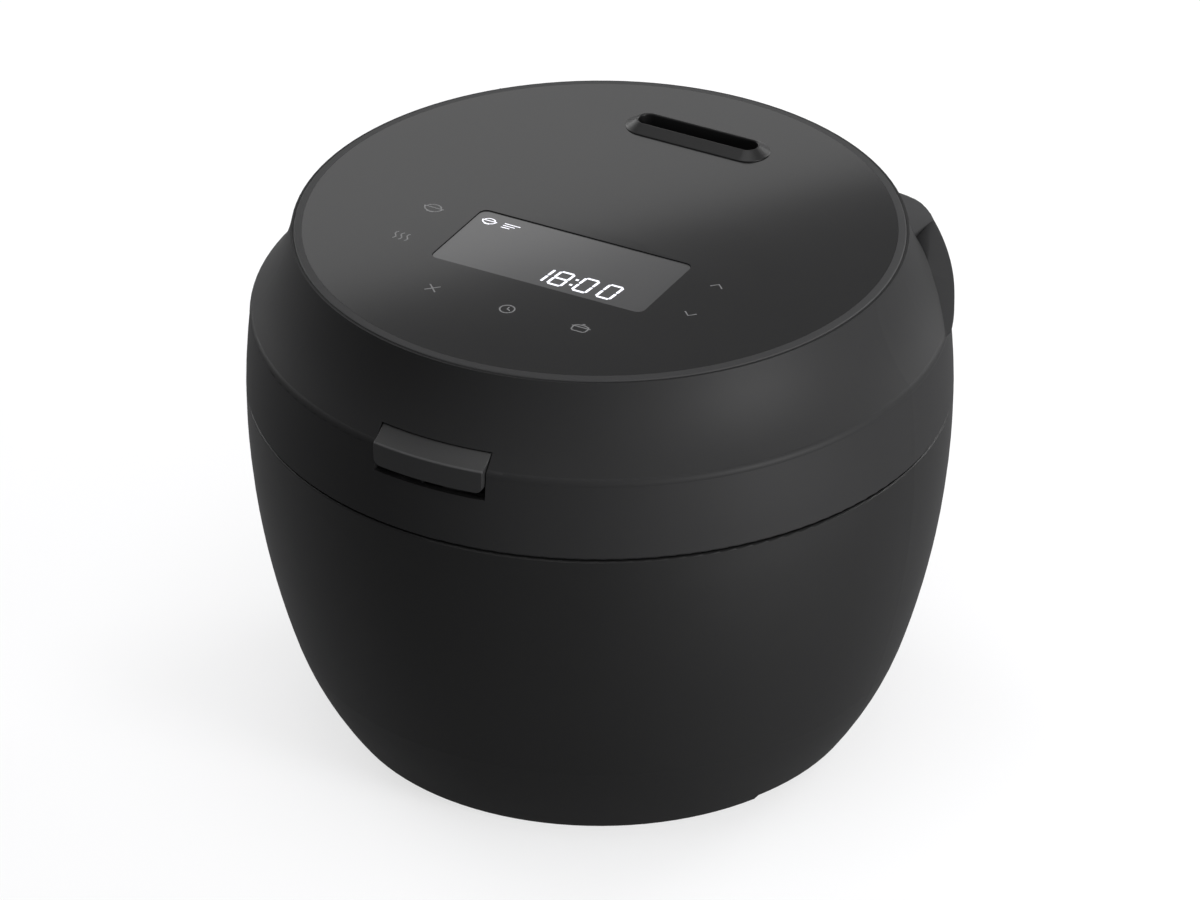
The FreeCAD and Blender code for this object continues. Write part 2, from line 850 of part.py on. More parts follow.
def make_casing_and_coils():
    hole_radius = well_outer_radius + size.fit_gap
    node(
        turned(
            "inner_casing",
            [
                (hole_radius, casing_bottom_z),
                (casing_floor_radius, casing_bottom_z),
                (casing_outer_radius, casing_corner_z),
                (casing_outer_radius, seat_under_z),
                (casing_inner_radius, seat_under_z),
                (casing_inner_radius, casing_corner_z),
                (casing_floor_radius - size.casing_wall / 2, casing_floor_z),
                (hole_radius, casing_floor_z),
            ],
        )
    )
    node(
        tube(
            "bottom_coil",
            coil_outer_radius,
            size.coil_inner_radius,
            (0, 0, coil_bottom_z),
            size.coil_thickness,
        )
    )
    wrap_radius = casing_outer_radius + size.fit_gap
    node(
        tube(
            "side_coil",
            wrap_radius + size.side_coil_thickness,
            wrap_radius,
            (0, 0, casing_corner_z + size.side_coil_lift),
            size.side_coil_height,
        )
    )
    node(
        tube(
            "side_heater",
            wrap_radius + size.heater_band_thickness,
            wrap_radius,
            (0, 0, seat_under_z - size.heater_band_drop - size.heater_band_height),
            size.heater_band_height,
        )
    )
    bars = []
    for number in range(FERRITE_COUNT):
        bar = block(
            f"ferrite_{number}",
            (size.coil_inner_radius + size.ferrite_margin, coil_outer_radius - size.ferrite_margin),
            (-size.ferrite_width / 2, size.ferrite_width / 2),
            (ferrite_bottom_z, coil_bottom_z),
        )
        arm = DOCUMENT.addObject("Part::Compound", f"ferrite_arm_{number}")
        arm.Links = [bar]
        arm.Placement = FreeCAD.Placement(
            FreeCAD.Vector(), FreeCAD.Rotation(UP, 360 / FERRITE_COUNT * number)
        )
        bars.append(arm)
    node(group("ferrite_bars", bars))
    post_ring = coil_outer_radius + size.carrier_post_gap + size.carrier_post_radius
    carrier_radius = post_ring + size.carrier_post_radius + size.carrier_margin
    pieces = [
        tube(
            "carrier_plate",
            carrier_radius,
            hole_radius,
            (0, 0, carrier_bottom_z),
            size.carrier_thickness,
        )
    ]
    for angle in CARRIER_POST_ANGLES:
        start = (*polar(post_ring, angle), carrier_bottom_z)
        pieces.append(
            rod(f"carrier_post_{angle}", size.carrier_post_radius, start, casing_bottom_z - carrier_bottom_z)
        )
    node(fuse("coil_carrier", *pieces))


def make_sensor():
    well_inside = size.sensor_radius + size.fit_gap
    cap_top_z = pot_bottom_z - size.fit_gap
    node(
        turned(
            "sensor_housing",
            [
                (0, well_bottom_z),
                (well_outer_radius, well_bottom_z),
                (well_outer_radius, ferrite_bottom_z),
                (well_outer_radius + size.sensor_flange, ferrite_bottom_z),
                (well_outer_radius + size.sensor_flange, ferrite_bottom_z + size.sensor_wall),
                (well_outer_radius, ferrite_bottom_z + size.sensor_wall),
                (well_outer_radius, well_top_z),
                (well_inside, well_top_z),
                (well_inside, well_bottom_z + size.sensor_wall),
                (0, well_bottom_z + size.sensor_wall),
            ],
        )
    )
    under_cap_z = cap_top_z - size.sensor_cap
    node(
        turned(
            "sensor_plunger",
            [
                (0, under_cap_z),
                (size.sensor_radius - size.sensor_wall, under_cap_z),
                (size.sensor_radius - size.sensor_wall, under_cap_z - size.sensor_skirt),
                (size.sensor_radius, under_cap_z - size.sensor_skirt),
                (size.sensor_radius, cap_top_z),
                (0, cap_top_z),
            ],
        )
    )
    spring_z = well_bottom_z + size.sensor_wall
    node(
        tube(
            "sensor_spring",
            size.sensor_spring_radius,
            size.sensor_spring_radius - size.sensor_spring_wall,
            (0, 0, spring_z),
            under_cap_z - size.fit_gap - spring_z,
        )
    )


def make_power_electronics():
    half_width = size.board_width / 2
    board_z = cover_top_z + size.board_lift
    board_top_z = board_z + size.board_thickness
    node(
        block(
            "power_board",
            (board_start_x, board_end_x),
            (-half_width, half_width),
            (board_z, board_top_z),
        )
    )
    sink_start_x = board_end_x - size.sink_length
    fins = [
        block(
            "sink_plate",
            (sink_start_x, board_end_x),
            (-half_width, half_width),
            (board_top_z, board_top_z + size.sink_base),
        )
    ]
    for number in range(FIN_COUNT):
        start_y = (size.board_width - size.sink_fin) / (FIN_COUNT - 1) * number - half_width
        fins.append(
            block(
                f"sink_fin_{number}",
                (sink_start_x, board_end_x),
                (start_y, start_y + size.sink_fin),
                (board_top_z, well_bottom_z - size.sink_gap),
            )
        )
    node(fuse("heat_sink", *fins))
    middle_x = (board_start_x + sink_start_x) / 2
    capacitor_at = (middle_x, half_width / 2, board_top_z)
    choke_at = (middle_x, -half_width / 2, board_top_z)
    relay_x = board_start_x + size.post_radius
    half_relay = size.relay_size / 2
    node(
        group(
            "board_components",
            [
                rod("capacitor", size.capacitor_radius, capacitor_at, bay_top_z - board_top_z),
                tube("choke", size.choke_radius, size.choke_radius / 2, choke_at, size.choke_height),
                block(
                    "relay",
                    (relay_x, relay_x + half_relay),
                    (-half_relay, half_relay),
                    (board_top_z, board_top_z + size.relay_size / 2),
                ),
            ],
        )
    )


def make_fan():
    fan_z = cover_top_z + size.fan_lift
    plate_top_z = fan_z + size.fan_plate
    fan_span = (fan_low_x, fan_high_x)
    square = block("fan_square", fan_span, (-fan_half, fan_half), (fan_z, bay_top_z))
    duct = rod("fan_duct", fan_duct_radius, (fan_x, 0, fan_z), bay_top_z - fan_z)
    half_spoke = size.fan_spoke / 2
    hub = rod("fan_hub_plate", size.fan_hub_radius, (fan_x, 0, fan_z), size.fan_plate)
    spoke_x = block("fan_spoke_x", fan_span, (-half_spoke, half_spoke), (fan_z, plate_top_z))
    spoke_y = block(
        "fan_spoke_y",
        (fan_x - half_spoke, fan_x + half_spoke),
        (-fan_half, fan_half),
        (fan_z, plate_top_z),
    )
    frame = fuse("fan_frame_blank", cut("fan_ring", square, duct), hub, spoke_x, spoke_y)
    bearing = rod(
        "fan_bearing", size.fan_shaft_radius + size.running_gap, (fan_x, 0, fan_z), size.fan_plate
    )
    node(cut("fan_frame", frame, bearing))
    rotor_z = plate_top_z + size.fit_gap
    rotor_height = bay_top_z - size.fit_gap - rotor_z
    pieces = [
        rod("rotor_hub", size.fan_hub_radius, (fan_x, 0, rotor_z), rotor_height),
        rod("rotor_shaft", size.fan_shaft_radius, (fan_x, 0, fan_z), size.fan_plate + size.fit_gap),
    ]
    blade_reach = fan_duct_radius - size.fit_gap * 4
    for number in range(BLADE_COUNT):
        blade = DOCUMENT.addObject("Part::Box", f"rotor_blade_{number}")
        bind(blade, "Length", blade_reach)
        bind(blade, "Width", size.fan_blade)
        bind(blade, "Height", size.fan_blade_width)
        turn = FreeCAD.Rotation(UP, 360 / BLADE_COUNT * number)
        tilt = FreeCAD.Rotation(FreeCAD.Vector(1, 0, 0), BLADE_TILT)
        blade.Placement = FreeCAD.Placement(FreeCAD.Vector(), turn * tilt)
        place(blade, (fan_x, 0, rotor_z + size.fan_blade))
        pieces.append(blade)
    sweep = rod("rotor_sweep", blade_reach, (fan_x, 0, fan_z), bay_top_z - size.fit_gap - fan_z)
    node(common("fan_rotor", fuse("rotor_blank", *pieces), sweep))


def make_power_inlet():
    half_width = size.inlet_width / 2
    solid = block(
        "inlet_solid", (-half_width, half_width), (inlet_back_y, past_skin_y), (inlet_low_z, inlet_high_z)
    )
    flush = common("inlet_flush", solid, body_form)
    recess_y = inlet_back_y + size.inlet_wall
    recess = block(
        "inlet_recess",
        (-(half_width - size.inlet_wall), half_width - size.inlet_wall),
        (recess_y, past_skin_y),
        (inlet_low_z + size.inlet_wall, inlet_high_z - size.inlet_wall),
    )
    holes = []
    pins = []
    tail_y = inlet_back_y - size.inlet_tail
    pin_length = recess_y + size.inlet_pin_reach - tail_y
    for side in (-1, 1):
        start = (size.inlet_pin_pitch / 2 * side, tail_y, inlet_middle_z)
        pins.append(rod(f"inlet_pin_{side + 1}", size.inlet_pin_radius, start, pin_length, "y"))
        hole_radius = size.inlet_pin_radius + size.running_gap
        holes.append(rod(f"inlet_pin_hole_{side + 1}", hole_radius, start, pin_length, "y"))
    node(cut("power_inlet", flush, recess, *holes))
    node(group("inlet_pins", pins))


def make_hinge_bracket():
    rear_y = hinge_y + size.ear_radius
    top_z_of_base = seam_z - size.bracket_top_drop
    profile = slab(
        "bracket_profile",
        [
            (size.seam_radius - size.bracket_inside, seam_z - size.bracket_depth),
            (size.seam_radius + size.wall, seam_z - size.bracket_depth),
            (rear_y, seam_z - size.ear_radius, size.bracket_belly),
            (rear_y, hinge_z),
            (hinge_y, hinge_z + size.ear_radius, size.ear_radius),
            (hinge_y - size.ear_radius, hinge_z, size.ear_radius),
            (hinge_y - size.ear_radius, top_z_of_base),
            (size.seam_radius - size.bracket_inside, top_z_of_base),
        ],
        size.hinge_half_width * 2,
    )
    skin = rod("bracket_skin", size.seam_radius + size.fit_gap, (0, 0, base_z), hinge_z + size.ear_radius)
    half_slot = size.hinge_half_width - size.ear_width
    knuckle_slot = block(
        "knuckle_slot",
        (-half_slot, half_slot),
        (size.seam_radius - size.bracket_inside, rear_y + size.wall),
        (hinge_z - size.ear_radius - size.fit_gap, hinge_z + size.ear_radius + size.wall),
    )
    bore = rod(
        "ear_bore",
        size.pin_radius + size.running_gap,
        (-size.hinge_half_width, hinge_y, hinge_z),
        size.hinge_half_width * 2,
        "x",
    )
    plan = rounded_block(
        "bracket_plan",
        (-size.hinge_half_width, size.hinge_half_width),
        (size.seam_radius - size.bracket_inside - size.bracket_corner, rear_y),
        (seam_z - size.bracket_depth, hinge_z + size.ear_radius),
        size.bracket_corner,
    )
    bracket = common("bracket_blank", profile, plan)
    node(cut("hinge_bracket", bracket, skin, knuckle_slot, bore, bracket_holes))
    node(screw_row("bracket_screws", size.bracket_screw_x, bracket_screw_z))
    node(
        rod(
            "hinge_pin",
            size.pin_radius,
            (-size.hinge_half_width, hinge_y, hinge_z),
            size.hinge_half_width * 2,
            "x",
        )
    )


def make_hinge_arms():
    half_width = size.hinge_half_width - size.ear_width - size.fit_gap
    arm = block(
        "arm_block",
        (-half_width, half_width),
        (size.seam_radius - size.bracket_inside, hinge_y),
        (hinge_z - size.arm_low, hinge_z + size.arm_high),
    )
    barrel_start = (-half_width, hinge_y, hinge_z)
    barrel = rod("arm_barrel", size.barrel_radius, barrel_start, half_width * 2, "x")
    skin = rod("arm_skin", size.seam_radius + size.fit_gap, (0, 0, base_z), top_z)
    bore = rod("barrel_bore", size.pin_radius + size.running_gap, barrel_start, half_width * 2, "x")
    room_radius = size.hinge_spring_radius + size.fit_gap
    half_room = size.hinge_spring_half_length + size.fit_gap
    room = rod("spring_room", room_radius, (-half_room, hinge_y, hinge_z), half_room * 2, "x")
    node(cut("hinge_arms", fuse("arm_blank", arm, barrel), skin, bore, room, arm_holes))
    node(screw_row("arm_screws", size.arm_screw_x, arm_screw_z))
    node(
        tube(
            "hinge_spring",
            size.hinge_spring_radius,
            size.hinge_spring_radius - size.hinge_spring_wall,
            (-size.hinge_spring_half_length, hinge_y, hinge_z),
            size.hinge_spring_half_length * 2,
            "x",
        )
    )


def make_hinge_cover():
    """The collar round the back of the lid: an ear at each side, and a fin that runs down from it."""
    inside_radius = cove_top_radius + size.fit_gap
    outside_radius = size.seam_radius - size.collar_inset
    ledge_radius = cove_top_radius + size.collar_ledge_width
    ledge_z = cove_top_z - size.collar_ledge_drop
    bottom_z = crease_z + size.collar_lift
    ring = turned(
        "collar_ring",
        [
            (crease_radius + size.fit_gap, bottom_z, size.cove_arc - size.fit_gap),
            (outside_radius, bottom_z),
            (outside_radius, cove_top_z - size.collar_round_drop),
            (ledge_radius, ledge_z, size.collar_round),
            (inside_radius, cove_top_z - size.fit_gap),
        ],
        size.collar_angle,
    )
    # The low saddle between the ears
    saddle_z = ledge_z - size.saddle_drop
    saddle = turned(
        "collar_saddle",
        [
            (inside_radius - size.wall, cove_top_z),
            (ledge_radius, saddle_z),
            (outside_radius + size.wall, saddle_z - size.saddle_foot),
            (outside_radius + size.wall, top_z),
            (inside_radius - size.wall, top_z),
        ],
        (size.collar_angle / 2 - size.collar_fold - size.ear_angle) * 2,
    )
    for turned_piece in (ring, saddle):
        turned_piece.Placement = FreeCAD.Placement(FreeCAD.Vector(), FreeCAD.Rotation(UP, 90))
    cutters = [saddle]
    for name, side in (("right", 1), ("left", -1)):
        # The valley between the fin and the cove
        fin_radius = outside_radius - size.fin_wall
        valley = turned(
            f"valley_{name}",
            [
                (inside_radius - size.wall, crease_z),
                (fin_radius, crease_z),
                (fin_radius, top_z),
                (inside_radius - size.wall, top_z),
            ],
            size.collar_fold * 2,
        )
        fin_end = 90 - side * (size.collar_angle / 2).value
        valley.Placement = FreeCAD.Placement(FreeCAD.Vector(), FreeCAD.Rotation(UP, fin_end))
        cutters.append(valley)
        # The slope that the fin runs down
        fold = 90 - side * (size.collar_angle / 2 - size.collar_fold).value
        out = FreeCAD.Rotation(UP, fold).multVec(FreeCAD.Vector(1, 0, 0))
        away = UP.cross(out) * -side
        slope = math.radians(size.collar_slope.value)
        down_ramp = away * math.cos(slope) - UP * math.sin(slope)
        normal = away * math.sin(slope) + UP * math.cos(slope)
        ramp = block(f"ramp_{name}", (0, size.seam_radius), (0, size.seam_radius), (0, size.cove_height))
        lifted = DOCUMENT.addObject("Part::Compound", f"ramp_{name}_placed")
        lifted.Links = [ramp]
        across = down_ramp.cross(normal)
        start = out * ledge_radius.value - across * (size.seam_radius.value / 2)
        start.z = ledge_z.value
        turn = FreeCAD.Rotation(across, down_ramp, normal, "ZXY")
        lifted.Placement = FreeCAD.Placement(start, turn)
        cutters.append(lifted)
    node(cut("hinge_cover", ring, *cutters))


def make_lid_shell():
    shell = turned(
        "lid_shell_wall",
        [
            (size.seam_radius - size.edge_round, lid_base_z),
            (size.seam_radius, lid_base_z + size.edge_round, size.edge_round),
            (crease_radius + size.crease_round / 4, crease_z - size.crease_round, size.band_arc),
            (crease_radius - size.crease_round / 2, crease_z + size.crease_round, size.crease_round * 2),
            (cove_top_radius, cove_top_z, -size.cove_arc),
            (brim_radius, cove_top_z),
            (brim_radius, deck_z),
            (deck_inner_radius, deck_z),
            (deck_inner_radius, deck_z - size.deck_thickness),
            (cove_top_radius - size.wall, deck_z - size.deck_thickness),
            (crease_radius - size.wall, crease_z - size.crease_round, size.cove_arc + size.wall),
            (shell_inside_radius, liner_top_z, -(size.band_arc - size.wall)),
            (size.seam_radius - size.rebate_wall, liner_top_z),
            (size.seam_radius - size.rebate_wall, lid_base_z),
        ],
    )
    bosses = []
    for angle in LID_SCREW_ANGLES:
        start = (*polar(boss_ring_radius, angle), liner_top_z)
        boss = rod(f"boss_{angle}", size.boss_radius, start, cove_top_z - liner_top_z)
        bosses.append(common(f"boss_trim_{angle}", boss, lid_form))
    cutters = [arm_holes]
    for angle in LID_SCREW_ANGLES:
        start = (*polar(boss_ring_radius, angle), liner_top_z)
        radius = size.screw_radius + size.screw_gap
        cutters.append(rod(f"boss_hole_{angle}", radius, start, size.lid_screw_length))
    half_pocket = size.button_width / 2 + size.button_gap
    cutters.append(
        block(
            "button_pocket",
            (-half_pocket, half_pocket),
            (-past_skin_y, -(cove_top_radius - size.wall)),
            (button_low_z - size.button_travel - size.button_floor_gap, button_top_z + size.button_gap),
        )
    )
    node(cut("lid_shell", fuse("lid_blank", shell, *bosses), *cutters))


# Lid release: heights of its ledge, face and foot
button_low_z = crease_z - size.button_drop
button_lip_z = button_low_z + size.button_height
button_top_z = button_lip_z + size.button_ledge_rise
hook_z = liner_top_z + size.hook_up
tail_top_z = hook_z + size.hook_bar
tail_tip_y = -(hook_y + size.hook_tail)
spring_places = ((-1, "left"), (1, "right"))


def make_release_button():
    front_radius = size.seam_radius + size.button_proud
    ring = turned(
        "button_ring",
        [
            (front_radius - size.button_back, button_low_z),
            (front_radius, button_low_z),
            (front_radius, button_lip_z - size.button_edge),
            (front_radius - size.button_edge, button_lip_z, size.button_edge),
            (front_radius - size.button_edge - size.button_ledge_width, button_top_z),
            (front_radius - size.button_back, button_top_z),
        ],
    )
    half_width = size.button_width / 2
    front = block(
        "button_front",
        (-half_width, half_width),
        (-(size.seam_radius + size.wall), -lip_radius),
        (button_low_z, button_top_z),
    )
    stem_y = tail_tip_y + size.stem_from_tail
    stem = block(
        "button_stem",
        (-size.hook_half_width, size.hook_half_width),
        (stem_y - size.stem_width / 2, stem_y + size.stem_width / 2),
        (tail_top_z + size.tail_gap, button_low_z + size.wall),
    )
    pockets = []
    for side, word in spring_places:
        start = (size.button_spring_x * side, -button_spring_y, button_low_z)
        radius = size.button_spring_radius + size.fit_gap
        pockets.append(rod(f"spring_pocket_{word}", radius, start, size.button_spring_pocket))
    blank = fuse("button_blank", common("button_cap", ring, front), stem)
    node(cut("release_button", blank, *pockets))


def make_button_housing():
    """The pocket behind the lid release: a floor, a shelf under it, cheeks and the hook's ears."""
    shelf_top_z = button_low_z - size.button_travel - size.button_floor_gap
    half_width = size.button_width / 2 + size.button_gap + size.housing_wall
    shelf_y = -(housing_inside_y + size.housing_wall * 4)
    front_y = -size.seam_radius
    back_y = -housing_inside_y
    slot_x = size.hook_half_width + size.hook_side_gap
    floor_top_z = liner_top_z + size.housing_floor
    width_span = (-half_width, half_width)
    pieces = [
        block("housing_floor_plate", width_span, (front_y, back_y), (liner_top_z, floor_top_z)),
        block(
            "housing_shelf",
            width_span,
            (front_y, shelf_y),
            (shelf_top_z - size.housing_wall, shelf_top_z),
        ),
    ]
    for side in (-1, 1):
        inner = (half_width - size.housing_wall) * side
        outer = half_width * side
        cheek = (inner, outer) if side > 0 else (outer, inner)
        cheek_z = (liner_top_z, shelf_top_z)
        pieces.append(block(f"housing_cheek_{side + 1}", cheek, (front_y, shelf_y), cheek_z))
        near = slot_x * side
        far = (slot_x + size.housing_ear) * side
        ear = (near, far) if side > 0 else (far, near)
        ear_y = (-(hook_y + size.hook_head), back_y)
        pieces.append(
            block(f"housing_ear_{side + 1}", ear, ear_y, (liner_top_z, hook_z + size.hook_head))
        )
    trim = rod("housing_trim", lid_room_radius, (0, 0, liner_top_z), crease_z - liner_top_z)
    hook_way = block("hook_way", (-slot_x, slot_x), (front_y, back_y), (liner_top_z, crease_z))
    half_pin = slot_x + size.housing_ear
    pin_hole = rod(
        "hook_pin_hole",
        size.hook_pin_radius + size.running_gap,
        (-half_pin, -hook_y, hook_z),
        half_pin * 2,
        "x",
    )
    blank = common("housing_blank", fuse("housing_solid", *pieces), trim)
    bridge = block(
        "housing_bridge",
        (-half_pin, half_pin),
        (back_y, back_y + size.housing_wall),
        (liner_top_z, hook_z + size.hook_head),
    )
    node(fuse("button_housing", cut("housing_cut", blank, hook_way, pin_hole), bridge))
    node(rod("hook_pin", size.hook_pin_radius, (-half_pin, -hook_y, hook_z), half_pin * 2, "x"))
    springs = []
    for side, word in spring_places:
        start = (size.button_spring_x * side, -button_spring_y, shelf_top_z)
        length = button_low_z + size.button_spring_pocket - size.fit_gap - shelf_top_z
        inner = size.button_spring_radius - size.button_spring_wall
        springs.append(tube(f"button_spring_{word}", size.button_spring_radius, inner, start, length))
    node(group("button_springs", springs))


def make_latch_hook():
    toe_tip_y = -(strike_edge_y - size.toe_gap)
    shank_out_y = toe_tip_y + size.toe_reach
    shank_in_y = shank_out_y + size.shank_width
    toe_top_z = frame_under_z - size.strike_thickness - size.toe_drop
    toe_low_z = toe_top_z - size.toe_height
    profile = slab(
        "hook_profile",
        [
            (-hook_y + size.hook_bar, tail_top_z),
            (tail_tip_y, tail_top_z),
            (tail_tip_y, hook_z),
            (-hook_y - size.hook_head, hook_z),
            (shank_out_y, liner_plate_z),
            (shank_out_y, toe_top_z),
            (toe_tip_y, toe_top_z),
            (toe_tip_y, toe_top_z - size.toe_height / 2),
            (shank_out_y, toe_low_z),
            (shank_in_y, toe_low_z),
            (shank_in_y, liner_plate_z),
            (-hook_y + size.hook_bar, hook_z - size.hook_bar),
        ],
        size.hook_half_width * 2,
    )
    hole = rod(
        "hook_hole",
        size.hook_pin_radius + size.running_gap,
        (-size.hook_half_width, -hook_y, hook_z),
        size.hook_half_width * 2,
        "x",
    )
    node(cut("latch_hook", profile, hole))


# Places of the steam valve, the safety valve and the lid screws, as cutters for the lid's plates
def valve_holes(name, valve_radius, safety_radius, z_span):
    low, high = z_span
    length = as_size(high) - low
    return [
        rod(f"{name}_valve_hole", valve_radius, (0, vent_y, low), length),
        rod(f"{name}_safety_hole", safety_radius, (size.safety_x, safety_y, low), length),
    ]


def make_lid_underside():
    ring_radius = size.seam_radius - size.rebate_wall - size.fit_gap
    liner = turned(
        "liner_blank",
        [
            (0, liner_plate_z),
            (liner_step_radius, liner_plate_z),
            (liner_step_radius, inner_lid_top_z),
            (ring_radius, inner_lid_top_z),
            (ring_radius, liner_top_z),
            (0, liner_top_z),
        ],
    )
    z_span = (liner_plate_z, liner_top_z)
    cage_hole = size.cage_radius + size.fit_gap
    safety_hole = size.safety_radius + size.fit_gap
    cutters = valve_holes("liner", cage_hole, safety_hole, z_span)
    slot_x = size.hook_half_width + size.hook_side_gap
    cutters.append(
        block(
            "liner_hook_slot",
            (-slot_x, slot_x),
            (-(strike_edge_y + size.toe_gap), -(inner_lid_radius + size.wall)),
            (inner_lid_top_z, liner_top_z),
        )
    )
    recess_z = inner_lid_top_z + size.screw_head_height + size.fit_gap
    screws = []
    for angle in LID_SCREW_ANGLES:
        along, across = polar(boss_ring_radius, angle)
        recess_radius = size.screw_head_radius + size.fit_gap
        recess_at = (along, across, inner_lid_top_z)
        recess_depth = recess_z - inner_lid_top_z
        cutters.append(rod(f"liner_recess_{angle}", recess_radius, recess_at, recess_depth))
        shank_hole = size.screw_radius + size.screw_gap
        cutters.append(
            rod(f"liner_hole_{angle}", shank_hole, (along, across, recess_z), liner_top_z - recess_z)
        )
        head_start = (along, across, recess_z - size.screw_head_height)
        head = rod(f"lid_screw_head_{angle}", size.screw_head_radius, head_start, size.screw_head_height)
        shank_length = size.lid_screw_length - size.fit_gap + liner_top_z - recess_z
        shank = rod(f"lid_screw_shank_{angle}", size.screw_radius, (along, across, recess_z), shank_length)
        screws.append(fuse(f"lid_screw_{angle}", head, shank))
    node(cut("lid_liner", liner, *cutters))
    node(group("lid_screws", screws))
    heater = rod("heater_disc", lid_heater_radius, (0, 0, lid_heater_z), size.lid_heater_thickness)
    heater_span = (lid_heater_z, liner_plate_z)
    node(cut("lid_heater", heater, *valve_holes("heater", cage_hole, safety_hole, heater_span)))
    plate = rod("inner_lid_disc", inner_lid_radius, (0, 0, inner_lid_z), size.inner_lid_thickness)
    plate_span = (inner_lid_z, inner_lid_top_z)
    plate_holes = valve_holes("inner_lid", size.valve_hole_radius, size.safety_hole_radius, plate_span)
    node(cut("inner_lid", plate, *plate_holes))
    node(
        tube(
            "pot_gasket",
            gasket_inner_radius + size.gasket_width,
            gasket_inner_radius,
            (0, 0, gasket_z),
            size.gasket_height,
        )
    )


def make_top_panel():
    skirt_radius = panel_radius - size.panel_skirt
    groove_radius = panel_radius - size.panel_groove
    panel = turned(
        "panel_blank",
        [
            (0, panel_under_z),
            (skirt_radius, panel_under_z),
            (skirt_radius, deck_z),
            (groove_radius, deck_z),
            (groove_radius, deck_z + size.panel_groove),
            (panel_radius, deck_z + size.panel_groove),
            (panel_radius, top_z - size.panel_bevel),
            (panel_radius - size.panel_bevel, top_z, size.panel_bevel),
            (0, top_z),
        ],
    )
    board_top_z = panel_under_z - size.pad_height
    pieces = [panel]
    rear_x = size.key_side_x + size.control_board_edge - size.standoff_inset
    standoffs = {"rear_left": (-rear_x, -size.standoff_inset), "rear_right": (rear_x, -size.standoff_inset)}
    for name, angle in FRONT_STANDOFF_ANGLES.items():
        standoffs[name] = polar(deck_inner_radius - size.standoff_inset, angle)
    for name, (along, across) in standoffs.items():
        start = (along, across, board_top_z)
        pieces.append(rod(f"standoff_{name}", size.post_radius, start, size.pad_height))
    half_width = size.display_width / 2
    half_depth = size.display_depth / 2
    seat_z = top_z - size.display_sink - size.display_thickness
    gap = size.fit_gap
    seat = rounded_block(
        "display_seat",
        (-half_width - gap, half_width + gap),
        (size.display_y - half_depth - gap, size.display_y + half_depth + gap),
        (seat_z, top_z),
        size.display_corner + gap,
    )
    inner_width = half_width - size.display_ledge
    inner_depth = half_depth - size.display_ledge
    window_hole = block(
        "display_hole",
        (-inner_width, inner_width),
        (size.display_y - inner_depth, size.display_y + inner_depth),
        (panel_under_z, seat_z),
    )
    vent_hole = stadium(
        "vent_hole",
        vent_y,
        size.vent_length - size.vent_land * 2 + gap * 2,
        size.vent_width - size.vent_land * 2 + gap * 2,
        (panel_under_z, top_z),
    )
    node(cut("top_panel", fuse("panel_solid", *pieces), seat, window_hole, vent_hole))
    node(
        rounded_block(
            "display_window",
            (-half_width, half_width),
            (size.display_y - half_depth, size.display_y + half_depth),
            (seat_z, seat_z + size.display_thickness),
            size.display_corner,
        )
    )


def make_display_and_board():
    board_top_z = panel_under_z - size.pad_height
    board_z = board_top_z - size.control_board_thickness
    half_board = size.key_side_x + size.control_board_edge
    front_y = size.key_front_y - size.control_board_edge
    board = block("board_blank", (-half_board, half_board), (front_y, 0), (board_z, board_top_z))
    room = rod(
        "board_room", deck_inner_radius - size.fit_gap, (0, 0, board_z), size.control_board_thickness
    )
    node(common("control_board", board, room))
    half_width = size.display_width / 2 - size.module_inset
    half_depth = size.display_depth / 2 - size.module_inset
    module_z = board_top_z + size.display_frame_height
    outline = ((-half_width, half_width), (size.display_y - half_depth, size.display_y + half_depth))
    node(block("display_module", *outline, (module_z, panel_under_z - size.fit_gap)))
    frame_span = (board_top_z, module_z)
    border = size.module_border
    opening = (
        (-half_width + border, half_width - border),
        (size.display_y - half_depth + border, size.display_y + half_depth - border),
    )
    frame = block("display_frame_block", *outline, frame_span)
    node(cut("display_frame", frame, block("display_frame_hole", *opening, frame_span)))
    key_places = (
        (-size.key_side_x, size.key_upper_y),
        (-size.key_side_x, size.key_lower_y),
        (-size.key_front_x, size.key_front_y),
        (0, size.key_front_y),
        (size.key_front_x, size.key_front_y),
        (size.key_side_x, size.key_upper_y),
        (size.key_side_x, size.key_lower_y),
    )
    pads = []
    for number, (along, across) in enumerate(key_places):
        start = (along, across, board_top_z)
        pads.append(rod(f"sense_pad_{number}", size.pad_radius, start, size.pad_height))
    node(group("sense_pads", pads))


